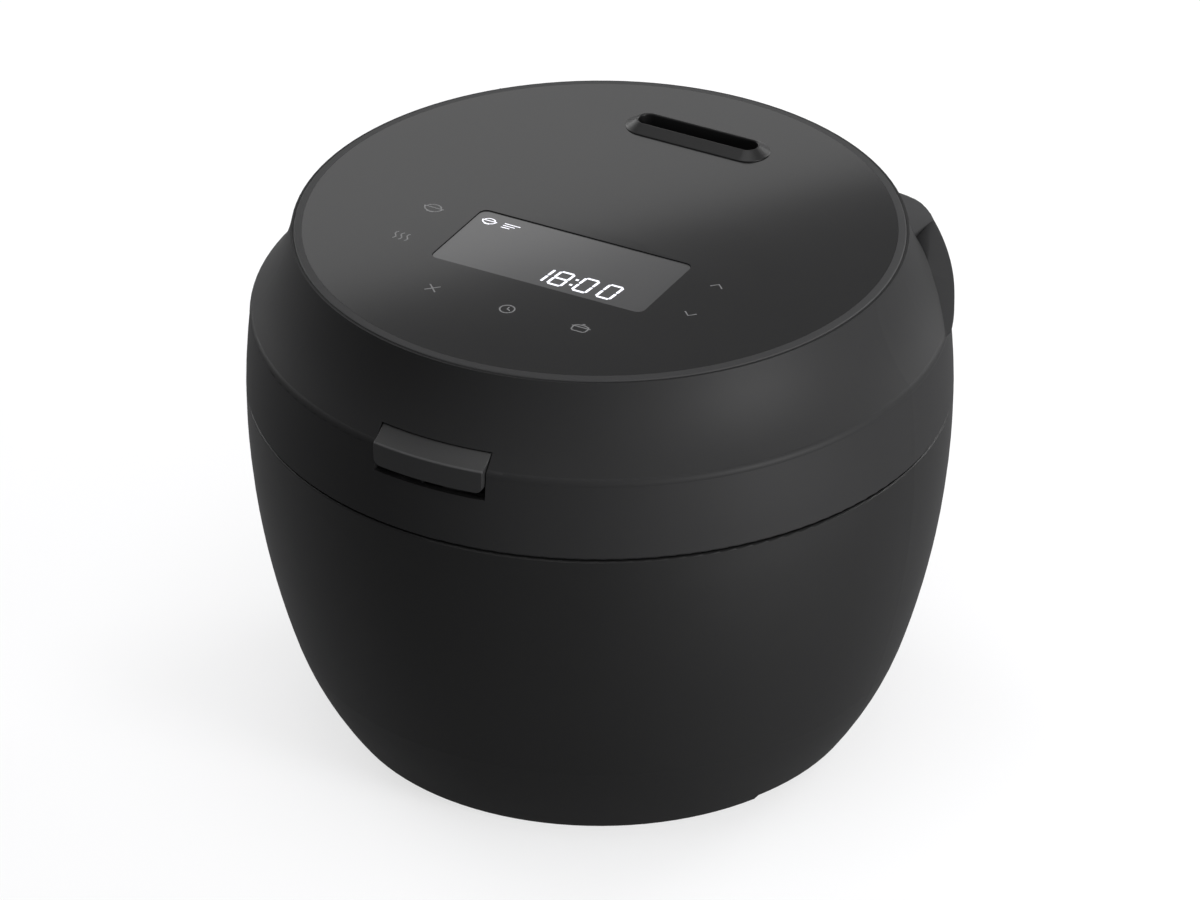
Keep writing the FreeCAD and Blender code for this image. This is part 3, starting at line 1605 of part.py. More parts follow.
def make_steam_way():
    neck_length = size.vent_length - size.vent_land * 2
    neck_width = size.vent_width - size.vent_land * 2
    neck_z = panel_under_z - size.vent_neck
    vent_top_z = top_z + size.vent_rise
    cap = stadium("vent_cap", vent_y, size.vent_length, size.vent_width, (top_z, vent_top_z))
    DOCUMENT.recompute()
    bevel = DOCUMENT.addObject("Part::Chamfer", "vent_cap_bevelled")
    bevel.Base = cap
    bevel.Edges = [
        (number, size.vent_bevel.value, size.vent_bevel.value)
        for number, edge in enumerate(cap.Shape.Edges, 1)
        if abs(edge.BoundBox.ZMin - vent_top_z.value) < size.running_gap.value
    ]
    neck = stadium("vent_neck", vent_y, neck_length, neck_width, (neck_z, top_z))
    slot_length = size.vent_length - size.slot_edge * 2
    slot_width = size.vent_width - size.slot_edge * 2
    slot = stadium("vent_slot", vent_y, slot_length, slot_width, (neck_z, vent_top_z))
    node(cut("vent_trim", fuse("vent_blank", bevel, neck), slot))
    box_z = neck_z - size.steam_box_height
    box_floor_z = box_z + size.steam_wall
    box = stadium("steam_box_solid", vent_y, neck_length, neck_width, (box_z, neck_z))
    room_length = neck_length - size.steam_wall * 2
    room_width = neck_width - size.steam_wall * 2
    room = stadium("steam_room", vent_y, room_length, room_width, (box_floor_z, neck_z))
    bore_radius = size.duct_radius - size.duct_wall
    drain = rod("steam_drain", bore_radius, (0, vent_y, box_z), size.steam_wall)
    node(cut("steam_box", box, room, drain))
    cage_z = inner_lid_top_z + size.fit_gap
    cage_top_z = liner_top_z + size.cage_height
    cage = tube(
        "cage_tube",
        size.cage_radius,
        size.cage_radius - size.cage_wall,
        (0, vent_y, cage_z),
        cage_top_z - cage_z,
    )
    cage_roof = tube(
        "cage_roof",
        size.cage_radius,
        bore_radius - size.duct_wall / 2,
        (0, vent_y, cage_top_z - size.duct_wall),
        size.duct_wall,
    )
    cage_flange = tube(
        "cage_flange",
        size.cage_radius + size.cage_wall,
        size.cage_radius - size.cage_wall,
        (0, vent_y, liner_top_z),
        size.cage_wall / 2,
    )
    plunger_z = liner_top_z + size.plunger_lift
    out_y = vent_y - size.ball_radius - size.fit_gap
    rest_tip_y = out_y - size.plunger_travel
    solenoid_front_y = vent_y - size.cage_radius - size.cage_wall - size.solenoid_gap
    solenoid_back_y = solenoid_front_y - size.solenoid_length
    way = rod(
        "plunger_way",
        size.plunger_radius + size.fit_gap,
        (0, solenoid_front_y, plunger_z),
        vent_y - solenoid_front_y,
        "y",
    )
    node(cut("valve_cage", fuse("cage_blank", cage, cage_roof, cage_flange), way))
    node(
        tube(
            "steam_duct",
            size.duct_radius,
            bore_radius,
            (0, vent_y, cage_top_z),
            box_z - cage_top_z,
        )
    )
    ball = DOCUMENT.addObject("Part::Sphere", "valve_ball")
    bind(ball, "Radius", size.ball_radius)
    seat_rise = Size(
        f"sqrt(({size.ball_radius.text}) ^ 2 - ({size.valve_hole_radius.text}) ^ 2)",
        math.sqrt(size.ball_radius.value**2 - size.valve_hole_radius.value**2),
    )
    place(ball, (0, vent_y, inner_lid_top_z + seat_rise + size.running_gap))
    node(ball)
    half_width = size.solenoid_width / 2
    case = block(
        "solenoid_case",
        (-half_width, half_width),
        (solenoid_back_y, solenoid_front_y),
        (liner_top_z, liner_top_z + size.solenoid_height),
    )
    bore_start_y = solenoid_back_y + size.solenoid_length / 4
    bore = rod(
        "solenoid_bore",
        size.plunger_radius + size.running_gap,
        (0, bore_start_y, plunger_z),
        solenoid_front_y - bore_start_y,
        "y",
    )
    node(cut("solenoid", case, bore))
    plunger_start_y = bore_start_y + size.fit_gap
    node(
        rod(
            "solenoid_plunger",
            size.plunger_radius,
            (0, plunger_start_y, plunger_z),
            rest_tip_y - plunger_start_y,
            "y",
        )
    )
    safety_z = inner_lid_top_z + size.fit_gap
    safety_at = (size.safety_x, safety_y, safety_z)
    stem = rod("safety_stem", size.safety_radius, safety_at, liner_top_z + size.safety_height - safety_z)
    flange = rod(
        "safety_collar",
        size.safety_radius + size.safety_flange,
        (size.safety_x, safety_y, liner_top_z),
        size.safety_flange,
    )
    node(fuse("safety_valve", stem, flange))


make_outer_body()
make_bottom_cover()
make_feet_and_screws()
make_upper_frame()
make_inner_pot()
make_casing_and_coils()
make_sensor()
make_power_electronics()
make_fan()
make_power_inlet()
make_hinge_bracket()
make_hinge_arms()
make_hinge_cover()
make_lid_shell()
make_release_button()
make_button_housing()
make_latch_hook()
make_lid_underside()
make_top_panel()
make_display_and_board()
make_steam_way()

DOCUMENT.recompute()
failed = [item.Name for item in DOCUMENT.Objects if {"Invalid", "Error"} & set(item.State)]
if failed:
    raise RuntimeError(f"objects that failed: {failed}")
for item in NODES:
    if item.Shape.isNull() or not item.Shape.isValid() or not item.Shape.Solids:
        raise RuntimeError(f"{item.Label} has no valid solid")

os.makedirs("parts", exist_ok=True)
for item in NODES:
    item.Shape.exportStep(f"parts/{item.Label}.step")
    print(f"{item.Label}: {len(item.Shape.Solids)} solids, {item.Shape.Volume:.0f} mm3")
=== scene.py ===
"""A closed induction rice cooker in charcoal plastic, on a pale floor under soft studio light."""

import json
import math

import bpy
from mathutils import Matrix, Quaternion, Vector


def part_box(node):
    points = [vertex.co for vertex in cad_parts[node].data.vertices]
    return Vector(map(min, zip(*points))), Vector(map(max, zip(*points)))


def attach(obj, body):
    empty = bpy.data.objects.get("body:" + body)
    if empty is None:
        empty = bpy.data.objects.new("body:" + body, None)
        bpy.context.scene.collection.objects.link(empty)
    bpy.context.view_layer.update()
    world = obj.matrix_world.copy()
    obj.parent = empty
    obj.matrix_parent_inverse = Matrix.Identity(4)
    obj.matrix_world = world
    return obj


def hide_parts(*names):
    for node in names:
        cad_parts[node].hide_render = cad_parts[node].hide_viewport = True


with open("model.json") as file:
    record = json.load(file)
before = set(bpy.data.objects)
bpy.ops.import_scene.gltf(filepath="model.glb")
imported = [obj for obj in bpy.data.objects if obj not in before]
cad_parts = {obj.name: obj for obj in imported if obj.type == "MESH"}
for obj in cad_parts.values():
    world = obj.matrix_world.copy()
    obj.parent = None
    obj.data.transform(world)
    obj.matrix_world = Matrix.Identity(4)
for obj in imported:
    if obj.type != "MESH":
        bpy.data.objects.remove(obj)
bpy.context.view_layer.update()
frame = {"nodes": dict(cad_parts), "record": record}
nodes = frame["nodes"]

MM = 0.001

# The camera's place round the cooker, in degrees and metres, and its lens and sensor in mm
CAMERA_AZIMUTH = 28.66
CAMERA_ELEVATION = 30.557
CAMERA_DISTANCE = 3.90436
CAMERA_TARGET = Vector((0, 0, 0.11094))
LENS = 300
SENSOR_WIDTH = 36


def solid_box(node):
    """The lowest and the highest corner of a solid, in mm to a tenth."""
    return [[round(place / MM, 1) for place in corner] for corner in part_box(node)]


# Heights and places on the lid, in mm
_, (_, _, PANEL_TOP) = solid_box("top_panel")
(_, window_front, _), (window_right, window_back, WINDOW_TOP) = solid_box("display_window")
(_, vent_front, VENT_FOOT), (vent_right, vent_back, VENT_TOP) = solid_box("vent_trim")
WINDOW_HALF = (window_right, (window_back - window_front) / 2)
WINDOW_Y = (window_front + window_back) / 2
WINDOW_CORNER = 3
VENT_BRIM = (vent_back - vent_front) / 2
VENT_NECK = 8.0
VENT_PLACE = (0, (vent_front + vent_back) / 2)
VENT_STRETCH = vent_right - VENT_BRIM
GLOSS_RADIUS = 115.0
PANEL_GAP = 0.2


def round_the_cooker(azimuth, elevation, distance):
    """A place seen from the cooker: azimuth 0 is its front and 90 its right side."""
    turn = math.radians(azimuth)
    rise = math.radians(elevation)
    away = Vector((math.sin(turn) * math.cos(rise), -math.cos(turn) * math.cos(rise), math.sin(rise)))
    return CAMERA_TARGET + away * distance


def aim(thing, roll=0):
    """Turns a lamp or camera towards the cooker, and then by a roll about its own view line."""
    view = CAMERA_TARGET - thing.location
    turn = view.to_track_quat("-Z", "Y") @ Quaternion((0, 0, 1), math.radians(roll))
    thing.rotation_euler = turn.to_euler()


# Shared effects: node groups that the finishes place with their own values

# Where a Mix node keeps its two colours and their blend, among its sockets
MIX_DARK, MIX_LIGHT, MIX_RESULT = 6, 7, 2


def link(tree, source, socket, target, name):
    tree.links.new(source.outputs[socket], target.inputs[name])


def noise(tree, scale, detail, roughness=0.5):
    texture = tree.nodes.new("ShaderNodeTexNoise")
    texture.inputs["Scale"].default_value = scale
    texture.inputs["Detail"].default_value = detail
    texture.inputs["Roughness"].default_value = roughness
    return texture


def sums(tree, operation, first, second):
    """One step of arithmetic; each term is a number or the output of another node."""
    step = tree.nodes.new("ShaderNodeMath")
    step.operation = operation
    for place, term in enumerate((first, second)):
        if isinstance(term, (int, float)):
            step.inputs[place].default_value = term
        else:
            tree.links.new(term, step.inputs[place])
    return step.outputs[0]


def mixed(tree, share, dark, light):
    """A blend of two colours; each is a colour or the output of another node."""
    blend = tree.nodes.new("ShaderNodeMix")
    blend.data_type = "RGBA"
    tree.links.new(share, blend.inputs["Factor"])
    for place, colour in ((MIX_DARK, dark), (MIX_LIGHT, light)):
        if isinstance(colour, tuple):
            blend.inputs[place].default_value = colour
        else:
            tree.links.new(colour, blend.inputs[place])
    return blend.outputs[MIX_RESULT]


def surface_effect(name):
    """A new group that takes a place, two shades and a range of sheen, and gives a surface."""
    tree = bpy.data.node_groups.new(name, "ShaderNodeTree")
    takes = (("Position", "Vector"), ("Dark", "Color"), ("Light", "Color"))
    takes += (("Smoothest", "Float"), ("Roughest", "Float"))
    for label, kind in takes:
        tree.interface.new_socket(label, in_out="INPUT", socket_type="NodeSocket" + kind)
    for label, kind in (("Color", "Color"), ("Roughness", "Float"), ("Height", "Float")):
        tree.interface.new_socket(label, in_out="OUTPUT", socket_type="NodeSocket" + kind)
    return tree, tree.nodes.new("NodeGroupInput"), tree.nodes.new("NodeGroupOutput")


def give_surface(tree, given, result, shade, sheen, height):
    """Ends a group: the shade and the sheen pick from its two shades and its range."""
    spread = tree.nodes.new("ShaderNodeMapRange")
    tree.links.new(sheen, spread.inputs["Value"])
    link(tree, given, "Smoothest", spread, "To Min")
    link(tree, given, "Roughest", spread, "To Max")
    colour = mixed(tree, shade, given.outputs["Dark"], given.outputs["Light"])
    tree.links.new(colour, result.inputs["Color"])
    tree.links.new(spread.outputs["Result"], result.inputs["Roughness"])
    tree.links.new(height, result.inputs["Height"])
    return tree


def mould_grain():
    """Moulded plastic: a faint cloudiness in the colour and sheen, and a fine eroded grain."""
    tree, given, result = surface_effect("mould grain")
    cloud = noise(tree, 24, 3)
    grain = noise(tree, 2600, 2, 0.6)
    for texture in (cloud, grain):
        link(tree, given, "Position", texture, "Vector")
    shade = cloud.outputs["Fac"]
    return give_surface(tree, given, result, shade, sheen=shade, height=grain.outputs["Fac"])


def spun_marks():
    """Pressed and turned metal: fine rings round the upright axis, under smears of duller sheen."""
    tree, given, result = surface_effect("spun marks")
    flat = tree.nodes.new("ShaderNodeVectorMath")
    flat.operation = "MULTIPLY"
    flat.inputs[1].default_value = (1, 1, 0)
    link(tree, given, "Position", flat, 0)
    reach = tree.nodes.new("ShaderNodeVectorMath")
    reach.operation = "LENGTH"
    link(tree, flat, 0, reach, 0)
    rings = noise(tree, 1800, 3, 0.7)
    rings.noise_dimensions = "1D"
    link(tree, reach, "Value", rings, "W")
    smear = noise(tree, 30, 3)
    link(tree, given, "Position", smear, "Vector")
    shade = rings.outputs["Fac"]
    return give_surface(tree, given, result, shade, sheen=smear.outputs["Fac"], height=shade)


MOULD_GRAIN = mould_grain()
SPUN_MARKS = spun_marks()


# Finishes

COOL_TINT = 1.02
GRAIN_DEPTH = 0.0002


def grey(level):
    """A grey that leans a little towards blue."""
    return (level, level, level * COOL_TINT, 1)


def finish(name):
    """A new material with its shader and its object coordinates."""
    material = bpy.data.materials.new(name)
    material.use_nodes = True
    tree = material.node_tree
    shader = tree.nodes["Principled BSDF"]
    place = tree.nodes.new("ShaderNodeTexCoord")
    return material, tree, shader, place


def roughen(tree, shader, texture, socket, strength):
    """Bumps a surface by the height that a texture gives."""
    bump = tree.nodes.new("ShaderNodeBump")
    bump.inputs["Strength"].default_value = strength
    bump.inputs["Distance"].default_value = GRAIN_DEPTH
    link(tree, texture, socket, bump, "Height")
    link(tree, bump, "Normal", shader, "Normal")


def piece_places(tree, place):
    """How far across, along and up a place on a piece lies, and its reach from the upright axis."""
    axes = tree.nodes.new("ShaderNodeSeparateXYZ")
    link(tree, place, "Object", axes, "Vector")
    across, along, up = (axes.outputs[axis] for axis in "XYZ")
    across_squared, along_squared = (sums(tree, "MULTIPLY", way, way) for way in (across, along))
    squares = sums(tree, "ADD", across_squared, along_squared)
    return across, along, up, sums(tree, "POWER", squares, 0.5)


def surfaced(name, effect, dark, light, smoothest, roughest, specular, depth, metallic=0):
    """A finish from one of the shared effects, its two shades and its range of sheen."""
    material, tree, shader, place = finish(name)
    grain = tree.nodes.new("ShaderNodeGroup")
    grain.node_tree = effect
    grain.inputs["Dark"].default_value = dark
    grain.inputs["Light"].default_value = light
    grain.inputs["Smoothest"].default_value = smoothest
    grain.inputs["Roughest"].default_value = roughest
    link(tree, place, "Object", grain, "Position")
    link(tree, grain, "Color", shader, "Base Color")
    link(tree, grain, "Roughness", shader, "Roughness")
    roughen(tree, shader, grain, "Height", depth)
    shader.inputs["Specular IOR Level"].default_value = specular
    shader.inputs["Metallic"].default_value = metallic
    return material


def moulded(name, dark, light, smoothest, roughest, specular, depth=0.05):
    return surfaced(name, MOULD_GRAIN, grey(dark), grey(light), smoothest, roughest, specular, depth)


def plated(name, dark, light, smoothest, roughest):
    return surfaced(name, MOULD_GRAIN, grey(dark), grey(light), smoothest, roughest, 0.5, 0.03, 1)


def spun_metal(name, dark, light, smoothest, roughest):
    return surfaced(name, SPUN_MARKS, grey(dark), grey(light), smoothest, roughest, 0.5, 0.04, 1)


def level_marks(tree, place):
    """A mask for short level lines up the inner wall of the pot, at its back, with its sizes in metres."""
    spacing, line_share, half_length = 0.012, 0.06, 0.008
    lowest, highest, wall_reach, back = 0.065, 0.125, 0.0975, 0.05
    across, along, up, reach = piece_places(tree, place)
    rung = sums(tree, "FRACT", sums(tree, "MULTIPLY", up, 1 / spacing), 0)
    marks = sums(tree, "LESS_THAN", rung, line_share)
    for test in (
        sums(tree, "LESS_THAN", sums(tree, "ABSOLUTE", across, 0), half_length),
        sums(tree, "GREATER_THAN", along, back),
        sums(tree, "LESS_THAN", reach, wall_reach),
        sums(tree, "GREATER_THAN", up, lowest),
        sums(tree, "LESS_THAN", up, highest),
    ):
        marks = sums(tree, "MULTIPLY", marks, test)
    return marks


def pot_coating():
    """Dark non-stick coating with fine flecks, and pale level marks inside the pot at its back."""
    material, tree, shader, place = finish("pot coating")
    flecks = noise(tree, 900, 2, 0.7)
    cloud = noise(tree, 14, 2)
    for texture in (flecks, cloud):
        link(tree, place, "Object", texture, "Vector")
    fleck = sums(tree, "GREATER_THAN", flecks.outputs["Fac"], 0.63)
    coat = mixed(tree, cloud.outputs["Fac"], grey(0.022), grey(0.030))
    coat = mixed(tree, fleck, coat, grey(0.085))
    coat = mixed(tree, level_marks(tree, place), coat, grey(0.45))
    tree.links.new(coat, shader.inputs["Base Color"])
    sheen = sums(tree, "ADD", sums(tree, "MULTIPLY", cloud.outputs["Fac"], 0.12), 0.30)
    tree.links.new(sheen, shader.inputs["Roughness"])
    roughen(tree, shader, flecks, "Fac", 0.08)
    return material


def winding():
    """Copper wire wound in rings round the upright axis."""
    dark, light = (0.36, 0.15, 0.06, 1), (0.62, 0.30, 0.14, 1)
    return surfaced("copper winding", SPUN_MARKS, dark, light, 0.3, 0.42, 0.5, 0.3, 1)


def circuit_board():
    """Green lacquer with a faint net of tracks under it."""
    material, tree, shader, place = finish("board lacquer")
    tracks = tree.nodes.new("ShaderNodeTexBrick")
    tracks.inputs["Scale"].default_value = 160
    tracks.inputs["Mortar Size"].default_value = 0.08
    tracks.inputs["Color1"].default_value = (0.012, 0.075, 0.03, 1)
    tracks.inputs["Color2"].default_value = (0.014, 0.085, 0.035, 1)
    tracks.inputs["Mortar"].default_value = (0.03, 0.14, 0.06, 1)
    link(tree, place, "Object", tracks, "Vector")
    link(tree, tracks, "Color", shader, "Base Color")
    sheen = sums(tree, "ADD", sums(tree, "MULTIPLY", tracks.outputs["Fac"], 0.1), 0.3)
    tree.links.new(sheen, shader.inputs["Roughness"])
    return material


def button_with_painted_highlight():
    """Charcoal plastic with a painted highlight: paler along the front edge of the ledge, whose place is in
    metres.
    """
    edge_reach, edge_height = 0.1369, 0.1774
    material = moulded("charcoal button", 0.009, 0.011, 0.48, 0.54, 0.35)
    tree = material.node_tree
    shader = tree.nodes["Principled BSDF"]
    coat = shader.inputs["Base Color"].links[0].from_socket
    _, _, up, reach = piece_places(tree, tree.nodes.new("ShaderNodeTexCoord"))
    in_front = sums(tree, "GREATER_THAN", reach, edge_reach)
    edge = sums(tree, "MULTIPLY", in_front, sums(tree, "GREATER_THAN", up, edge_height))
    # The paler shade along the ledge's front edge is a painted highlight, for the light that this edge
    # catches.
    tree.links.new(mixed(tree, edge, coat, grey(0.03)), shader.inputs["Base Color"])
    return material


def lit_segment():
    """Lit display segments, a little uneven over their length."""
    material, tree, shader, place = finish("lit segment")
    glow = noise(tree, 260, 1)
    link(tree, place, "Object", glow, "Vector")
    light = mixed(tree, glow.outputs["Fac"], (0.70, 0.70, 0.76, 1), (0.90, 0.90, 0.97, 1))
    tree.links.new(light, shader.inputs["Emission Color"])
    tree.links.new(light, shader.inputs["Base Color"])
    shader.inputs["Emission Strength"].default_value = 0.55
    shader.inputs["Roughness"].default_value = 0.5
    return material


# A moulded finish gives its dark and light shade, its smoothest and roughest sheen, its specular level and,
# where it isn't the usual one, the strength of its grain
FINISHES = {
    "body_plastic": moulded("charcoal body", 0.0052, 0.0066, 0.50, 0.56, 0.2),
    "lid_plastic": moulded("charcoal lid", 0.0145, 0.0165, 0.54, 0.60, 0.10),
    "panel_plastic": moulded("panel coat", 0.010, 0.012, 0.11, 0.13, 0.2, 0.01),
    "window_plastic": moulded("smoked window", 0.044, 0.050, 0.13, 0.15, 0.45, 0),
    "trim_plastic": moulded("satin trim", 0.006, 0.008, 0.38, 0.44, 0.22),
    "button_plastic": button_with_painted_highlight(),
    "cover_plastic": moulded("black cover", 0.010, 0.013, 0.5, 0.6, 0.35),
    "frame_plastic": moulded("dark frame", 0.020, 0.024, 0.45, 0.55, 0.4),
    "inner_plastic": moulded("pale casing", 0.35, 0.38, 0.5, 0.6, 0.4),
    "rubber": moulded("foot rubber", 0.02, 0.025, 0.7, 0.8, 0.3),
    "gasket_rubber": moulded("gasket silicone", 0.24, 0.28, 0.42, 0.52, 0.4),
    "steel": plated("plated steel", 0.50, 0.58, 0.24, 0.34),
    "pot_metal": pot_coating(),
    "lid_metal": spun_metal("spun sheet", 0.50, 0.58, 0.26, 0.36),
    "sink_metal": plated("extruded metal", 0.60, 0.68, 0.30, 0.42),
    "copper": winding(),
    "ferrite": moulded("ferrite", 0.05, 0.07, 0.6, 0.7, 0.4),
    "board": circuit_board(),
    "component": moulded("component", 0.025, 0.035, 0.4, 0.5, 0.5),
}
INK = moulded("key ink", 0.13, 0.16, 0.5, 0.6, 0.3, 0)
LIT = lit_segment()
RIM_SATIN = moulded("satin rim", 0.031, 0.036, 0.58, 0.64, 0.11)
# The collar's lid plastic is made about twice as pale as the lid's: painted light on its ears and fin
COLLAR_PAINTED_LIGHT = moulded("charcoal collar", 0.030, 0.034, 0.54, 0.60, 0.10)
# Near black for the shaft under the vent: painted shade
SHAFT_PAINTED_SHADE = moulded("shaft black", 0.002, 0.003, 0.7, 0.8, 0.1)
for subpart in frame["record"]["subparts"]:
    nodes[subpart["node"]].material_slots[0].material = FINISHES[subpart["material_slot"]]
# The shaft under the vent's slot is coloured near black: painted shade for the dark opening
nodes["steam_box"].material_slots[0].material = SHAFT_PAINTED_SHADE


# Hand work that the pieces share


def arc(centre, across, up, start, end, count=13):
    """Points along part of an ellipse, from one angle to another in degrees."""
    turns = [math.radians(start + (end - start) * step / (count - 1)) for step in range(count)]
    return [(centre[0] + across * math.cos(turn), centre[1] + up * math.sin(turn)) for turn in turns]


def clear():
    """Object mode, with nothing selected."""
    if bpy.context.object and bpy.context.object.mode == "EDIT":
        bpy.ops.object.mode_set(mode="OBJECT")
    bpy.ops.object.select_all(action="DESELECT")


def take(*things):
    """Selects pieces, with the first in hand."""
    clear()
    for thing in things:
        thing.select_set(True)
    bpy.context.view_layer.objects.active = things[0]


def edit_all():
    bpy.ops.object.mode_set(mode="EDIT")
    bpy.ops.mesh.select_all(action="SELECT")


def pick(kind, test):
    """Selects the corners or edges of the piece in hand that pass a test, given their corners in mm."""
    bpy.ops.object.mode_set(mode="EDIT")
    bpy.ops.mesh.select_mode(type=kind)
    bpy.ops.mesh.select_all(action="DESELECT")
    bpy.ops.object.mode_set(mode="OBJECT")
    mesh = bpy.context.object.data
    if kind == "VERT":
        for corner in mesh.vertices:
            corner.select = test(corner.co / MM)
    else:
        for edge in mesh.edges:
            edge.select = all(test(mesh.vertices[end].co / MM) for end in edge.vertices)
    bpy.ops.object.mode_set(mode="EDIT")


def shift(place):
    """Moves what is selected, in mm."""
    bpy.ops.transform.translate(value=[step * MM for step in place])


def wire(points, closed):
    """A line through points in mm, drawn on from corner to corner; it ends in edit mode."""
    clear()
    bpy.ops.mesh.primitive_plane_add(size=MM, location=(0, 0, 0))
    edit_all()
    bpy.ops.mesh.select_mode(type="VERT")
    bpy.ops.mesh.merge(type="CENTER")
    shift(points[0])
    for before, after in zip(points, points[1:]):
        step = [(there - here) * MM for here, there in zip(before, after)]
        bpy.ops.mesh.extrude_region_move(TRANSFORM_OT_translate={"value": step})
    if closed:
        first, last = Vector(points[0]), Vector(points[-1])
        pick("VERT", lambda corner: min((corner - first).length, (corner - last).length) < 1e-3)
        bpy.ops.mesh.edge_face_add()


def spun(outline, start=0, turn=360, steps=96):
    """A section of (radius, height) points in mm, spun clockwise about the upright axis."""
    angle = math.radians(start)
    wire([(r * math.cos(angle), r * math.sin(angle), z) for r, z in outline], True)
    bpy.ops.mesh.select_all(action="SELECT")
    bpy.ops.mesh.spin(steps=steps, angle=math.radians(turn), center=(0, 0, 0), axis=(0, 0, 1))
    bpy.ops.mesh.select_all(action="SELECT")
    bpy.ops.mesh.remove_doubles(threshold=1e-6)
    bpy.ops.mesh.fill_holes(sides=0)
    bpy.ops.mesh.normals_make_consistent(inside=False)


def plate(points, thickness):
    """A flat plate with the given outline, drawn out by its thickness as a step in mm."""
    wire(points, True)
    bpy.ops.mesh.select_all(action="SELECT")
    bpy.ops.mesh.edge_face_add()
    bpy.ops.mesh.extrude_region_move(TRANSFORM_OT_translate={"value": [step * MM for step in thickness]})
    bpy.ops.mesh.select_all(action="SELECT")
    bpy.ops.mesh.normals_make_consistent(inside=False)
    bpy.ops.object.mode_set(mode="OBJECT")
    return bpy.context.object


def eased(width, segments=3, sharp=35):
    """Rounds the sharp edges of the piece in hand and smooths it."""
    bpy.ops.object.mode_set(mode="OBJECT")
    soft = bpy.context.object.modifiers.new("eased edges", "BEVEL")
    soft.width = width * MM
    soft.segments = segments
    soft.limit_method = "ANGLE"
    soft.angle_limit = math.radians(sharp)
    bpy.ops.object.modifier_apply(modifier=soft.name)
    smoothed(sharp)


def smoothed(sharp=35):
    """Smooths the piece in hand up to an angle, with its flat faces kept flat."""
    bpy.ops.object.mode_set(mode="OBJECT")
    bpy.ops.object.shade_smooth_by_angle(angle=math.radians(sharp))
    flat = bpy.context.object.modifiers.new("flat faces", "WEIGHTED_NORMAL")
    flat.keep_sharp = True
    bpy.ops.object.modifier_apply(modifier=flat.name)


def cut_by(*cutters, operation="DIFFERENCE"):
    """Cuts the piece in hand by other pieces, which are used up, or keeps what lies inside them."""
    piece = bpy.context.object
    for cutter in cutters:
        take(piece)
        cut = piece.modifiers.new("cut", "BOOLEAN")
        cut.operation = operation
        cut.solver = "EXACT"
        cut.object = cutter
        bpy.ops.object.modifier_apply(modifier=cut.name)
        bpy.data.objects.remove(cutter)
    take(piece)


def copied(thing, place):
    """A copy of a piece with its own mesh, moved by a place in mm."""
    take(thing)
    bpy.ops.object.duplicate(linked=False)
    shift(place)
    return bpy.context.object


def joined(things):
    take(*things)
    bpy.ops.object.join()
    return bpy.context.object


def fitted(name, body, slot, material, *replaced):
    """Names the piece in hand, gives it its finish and sets it on the body that carries it."""
    bpy.ops.object.mode_set(mode="OBJECT")
    piece = bpy.context.object
    piece.name = name
    piece.data.name = name
    piece.data.materials.clear()
    piece.data.materials.append(material)
    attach(piece, body)
    if replaced:
        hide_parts(*replaced)


# Steam vent: a low island with a thin lip round its slot


def make_vent():
    """The vent is spun round, and its halves are then drawn apart to its length."""
    slot_half = 4.0
    spun([
        (slot_half, VENT_FOOT), (VENT_NECK, VENT_FOOT), (VENT_NECK, PANEL_TOP), (VENT_BRIM, PANEL_TOP),
        (VENT_BRIM - 0.1, PANEL_TOP + 0.4), (4.9, VENT_TOP - 0.1), (4.5, VENT_TOP), (4.2, VENT_TOP - 0.2),
        (slot_half, VENT_TOP - 0.8),
    ])
    for side in (-1, 1):
        pick("VERT", lambda corner: corner.x * side > 1e-3)
        shift((side * VENT_STRETCH, 0, 0))
    bpy.ops.mesh.select_all(action="SELECT")
    shift((*VENT_PLACE, 0))
    eased(0.15, 2)
    fitted("vent_island", "lid", "trim_plastic", FINISHES["trim_plastic"], "vent_trim")


# Lid release: a bowed cap, with a dished ledge that falls towards the front


def make_release():
    """The section is spun past its ends, and a mould with two round corners keeps the cap."""
    (_, front_y, _), (half_width, _, top) = solid_box("release_button")
    front, back, low, corner = -front_y, 122.5, 168.5, 3.0
    mould_top, mould_front, mould_depth = 190, -150, 40
    spun(
        [
            (back, low), (front, low), (front, 177.8), (135.2, 178.9), (132.6, 180.4), (129.9, top),
            (back, top),
        ],
        start=-76, turn=28, steps=48,
    )
    bpy.ops.object.mode_set(mode="OBJECT")
    cap = bpy.context.object
    outline = [(half_width, mould_top), (-half_width, mould_top)]
    for side, start in ((-1, 180), (1, 270)):
        outline += arc((side * (half_width - corner), low + corner), corner, corner, start, start + 90, 9)
    mould = plate([(x, mould_front, z) for x, z in outline], (0, mould_depth, 0))
    take(cap)
    cut_by(mould, operation="INTERSECT")
    eased(0.3)
    fitted("release_cap", "button", "button_plastic", FINISHES["button_plastic"], "release_button")


# Collar round the back of the lid

(_, _, COLLAR_FOOT), (_, COLLAR_SKIN, _) = solid_box("hinge_cover")
COLLAR_EDGE = 0.4
# The lid's hollow shoulder, sunk a little: its middle, its two radii and the angle at its foot
COVE = ((188.4, 221.5), 70.3, 70.3, 220.3)
# Where the ear ends on the skin, and the slope that falls from there: angles from the back, and heights
EAR_END = 43.2
SLOPE = ((EAR_END, 190.0), (59.4, 184.6), (71.0, COLLAR_FOOT))


def round_the_back(reach, angle, height):
    """A place in mm at a reach from the upright axis, turned from the back to the right in degrees."""
    turn = math.radians(angle)
    return Vector((reach * math.sin(turn), reach * math.cos(turn), height))


def make_ring():
    """The low ring between the two ears."""
    spun(
        arc(*COVE, 193, 9) + [(131.5, 188.5), (COLLAR_SKIN, 181.6), (COLLAR_SKIN, COLLAR_FOOT)],
        start=134, turn=88, steps=88,
    )
    eased(COLLAR_EDGE)
    return bpy.context.object


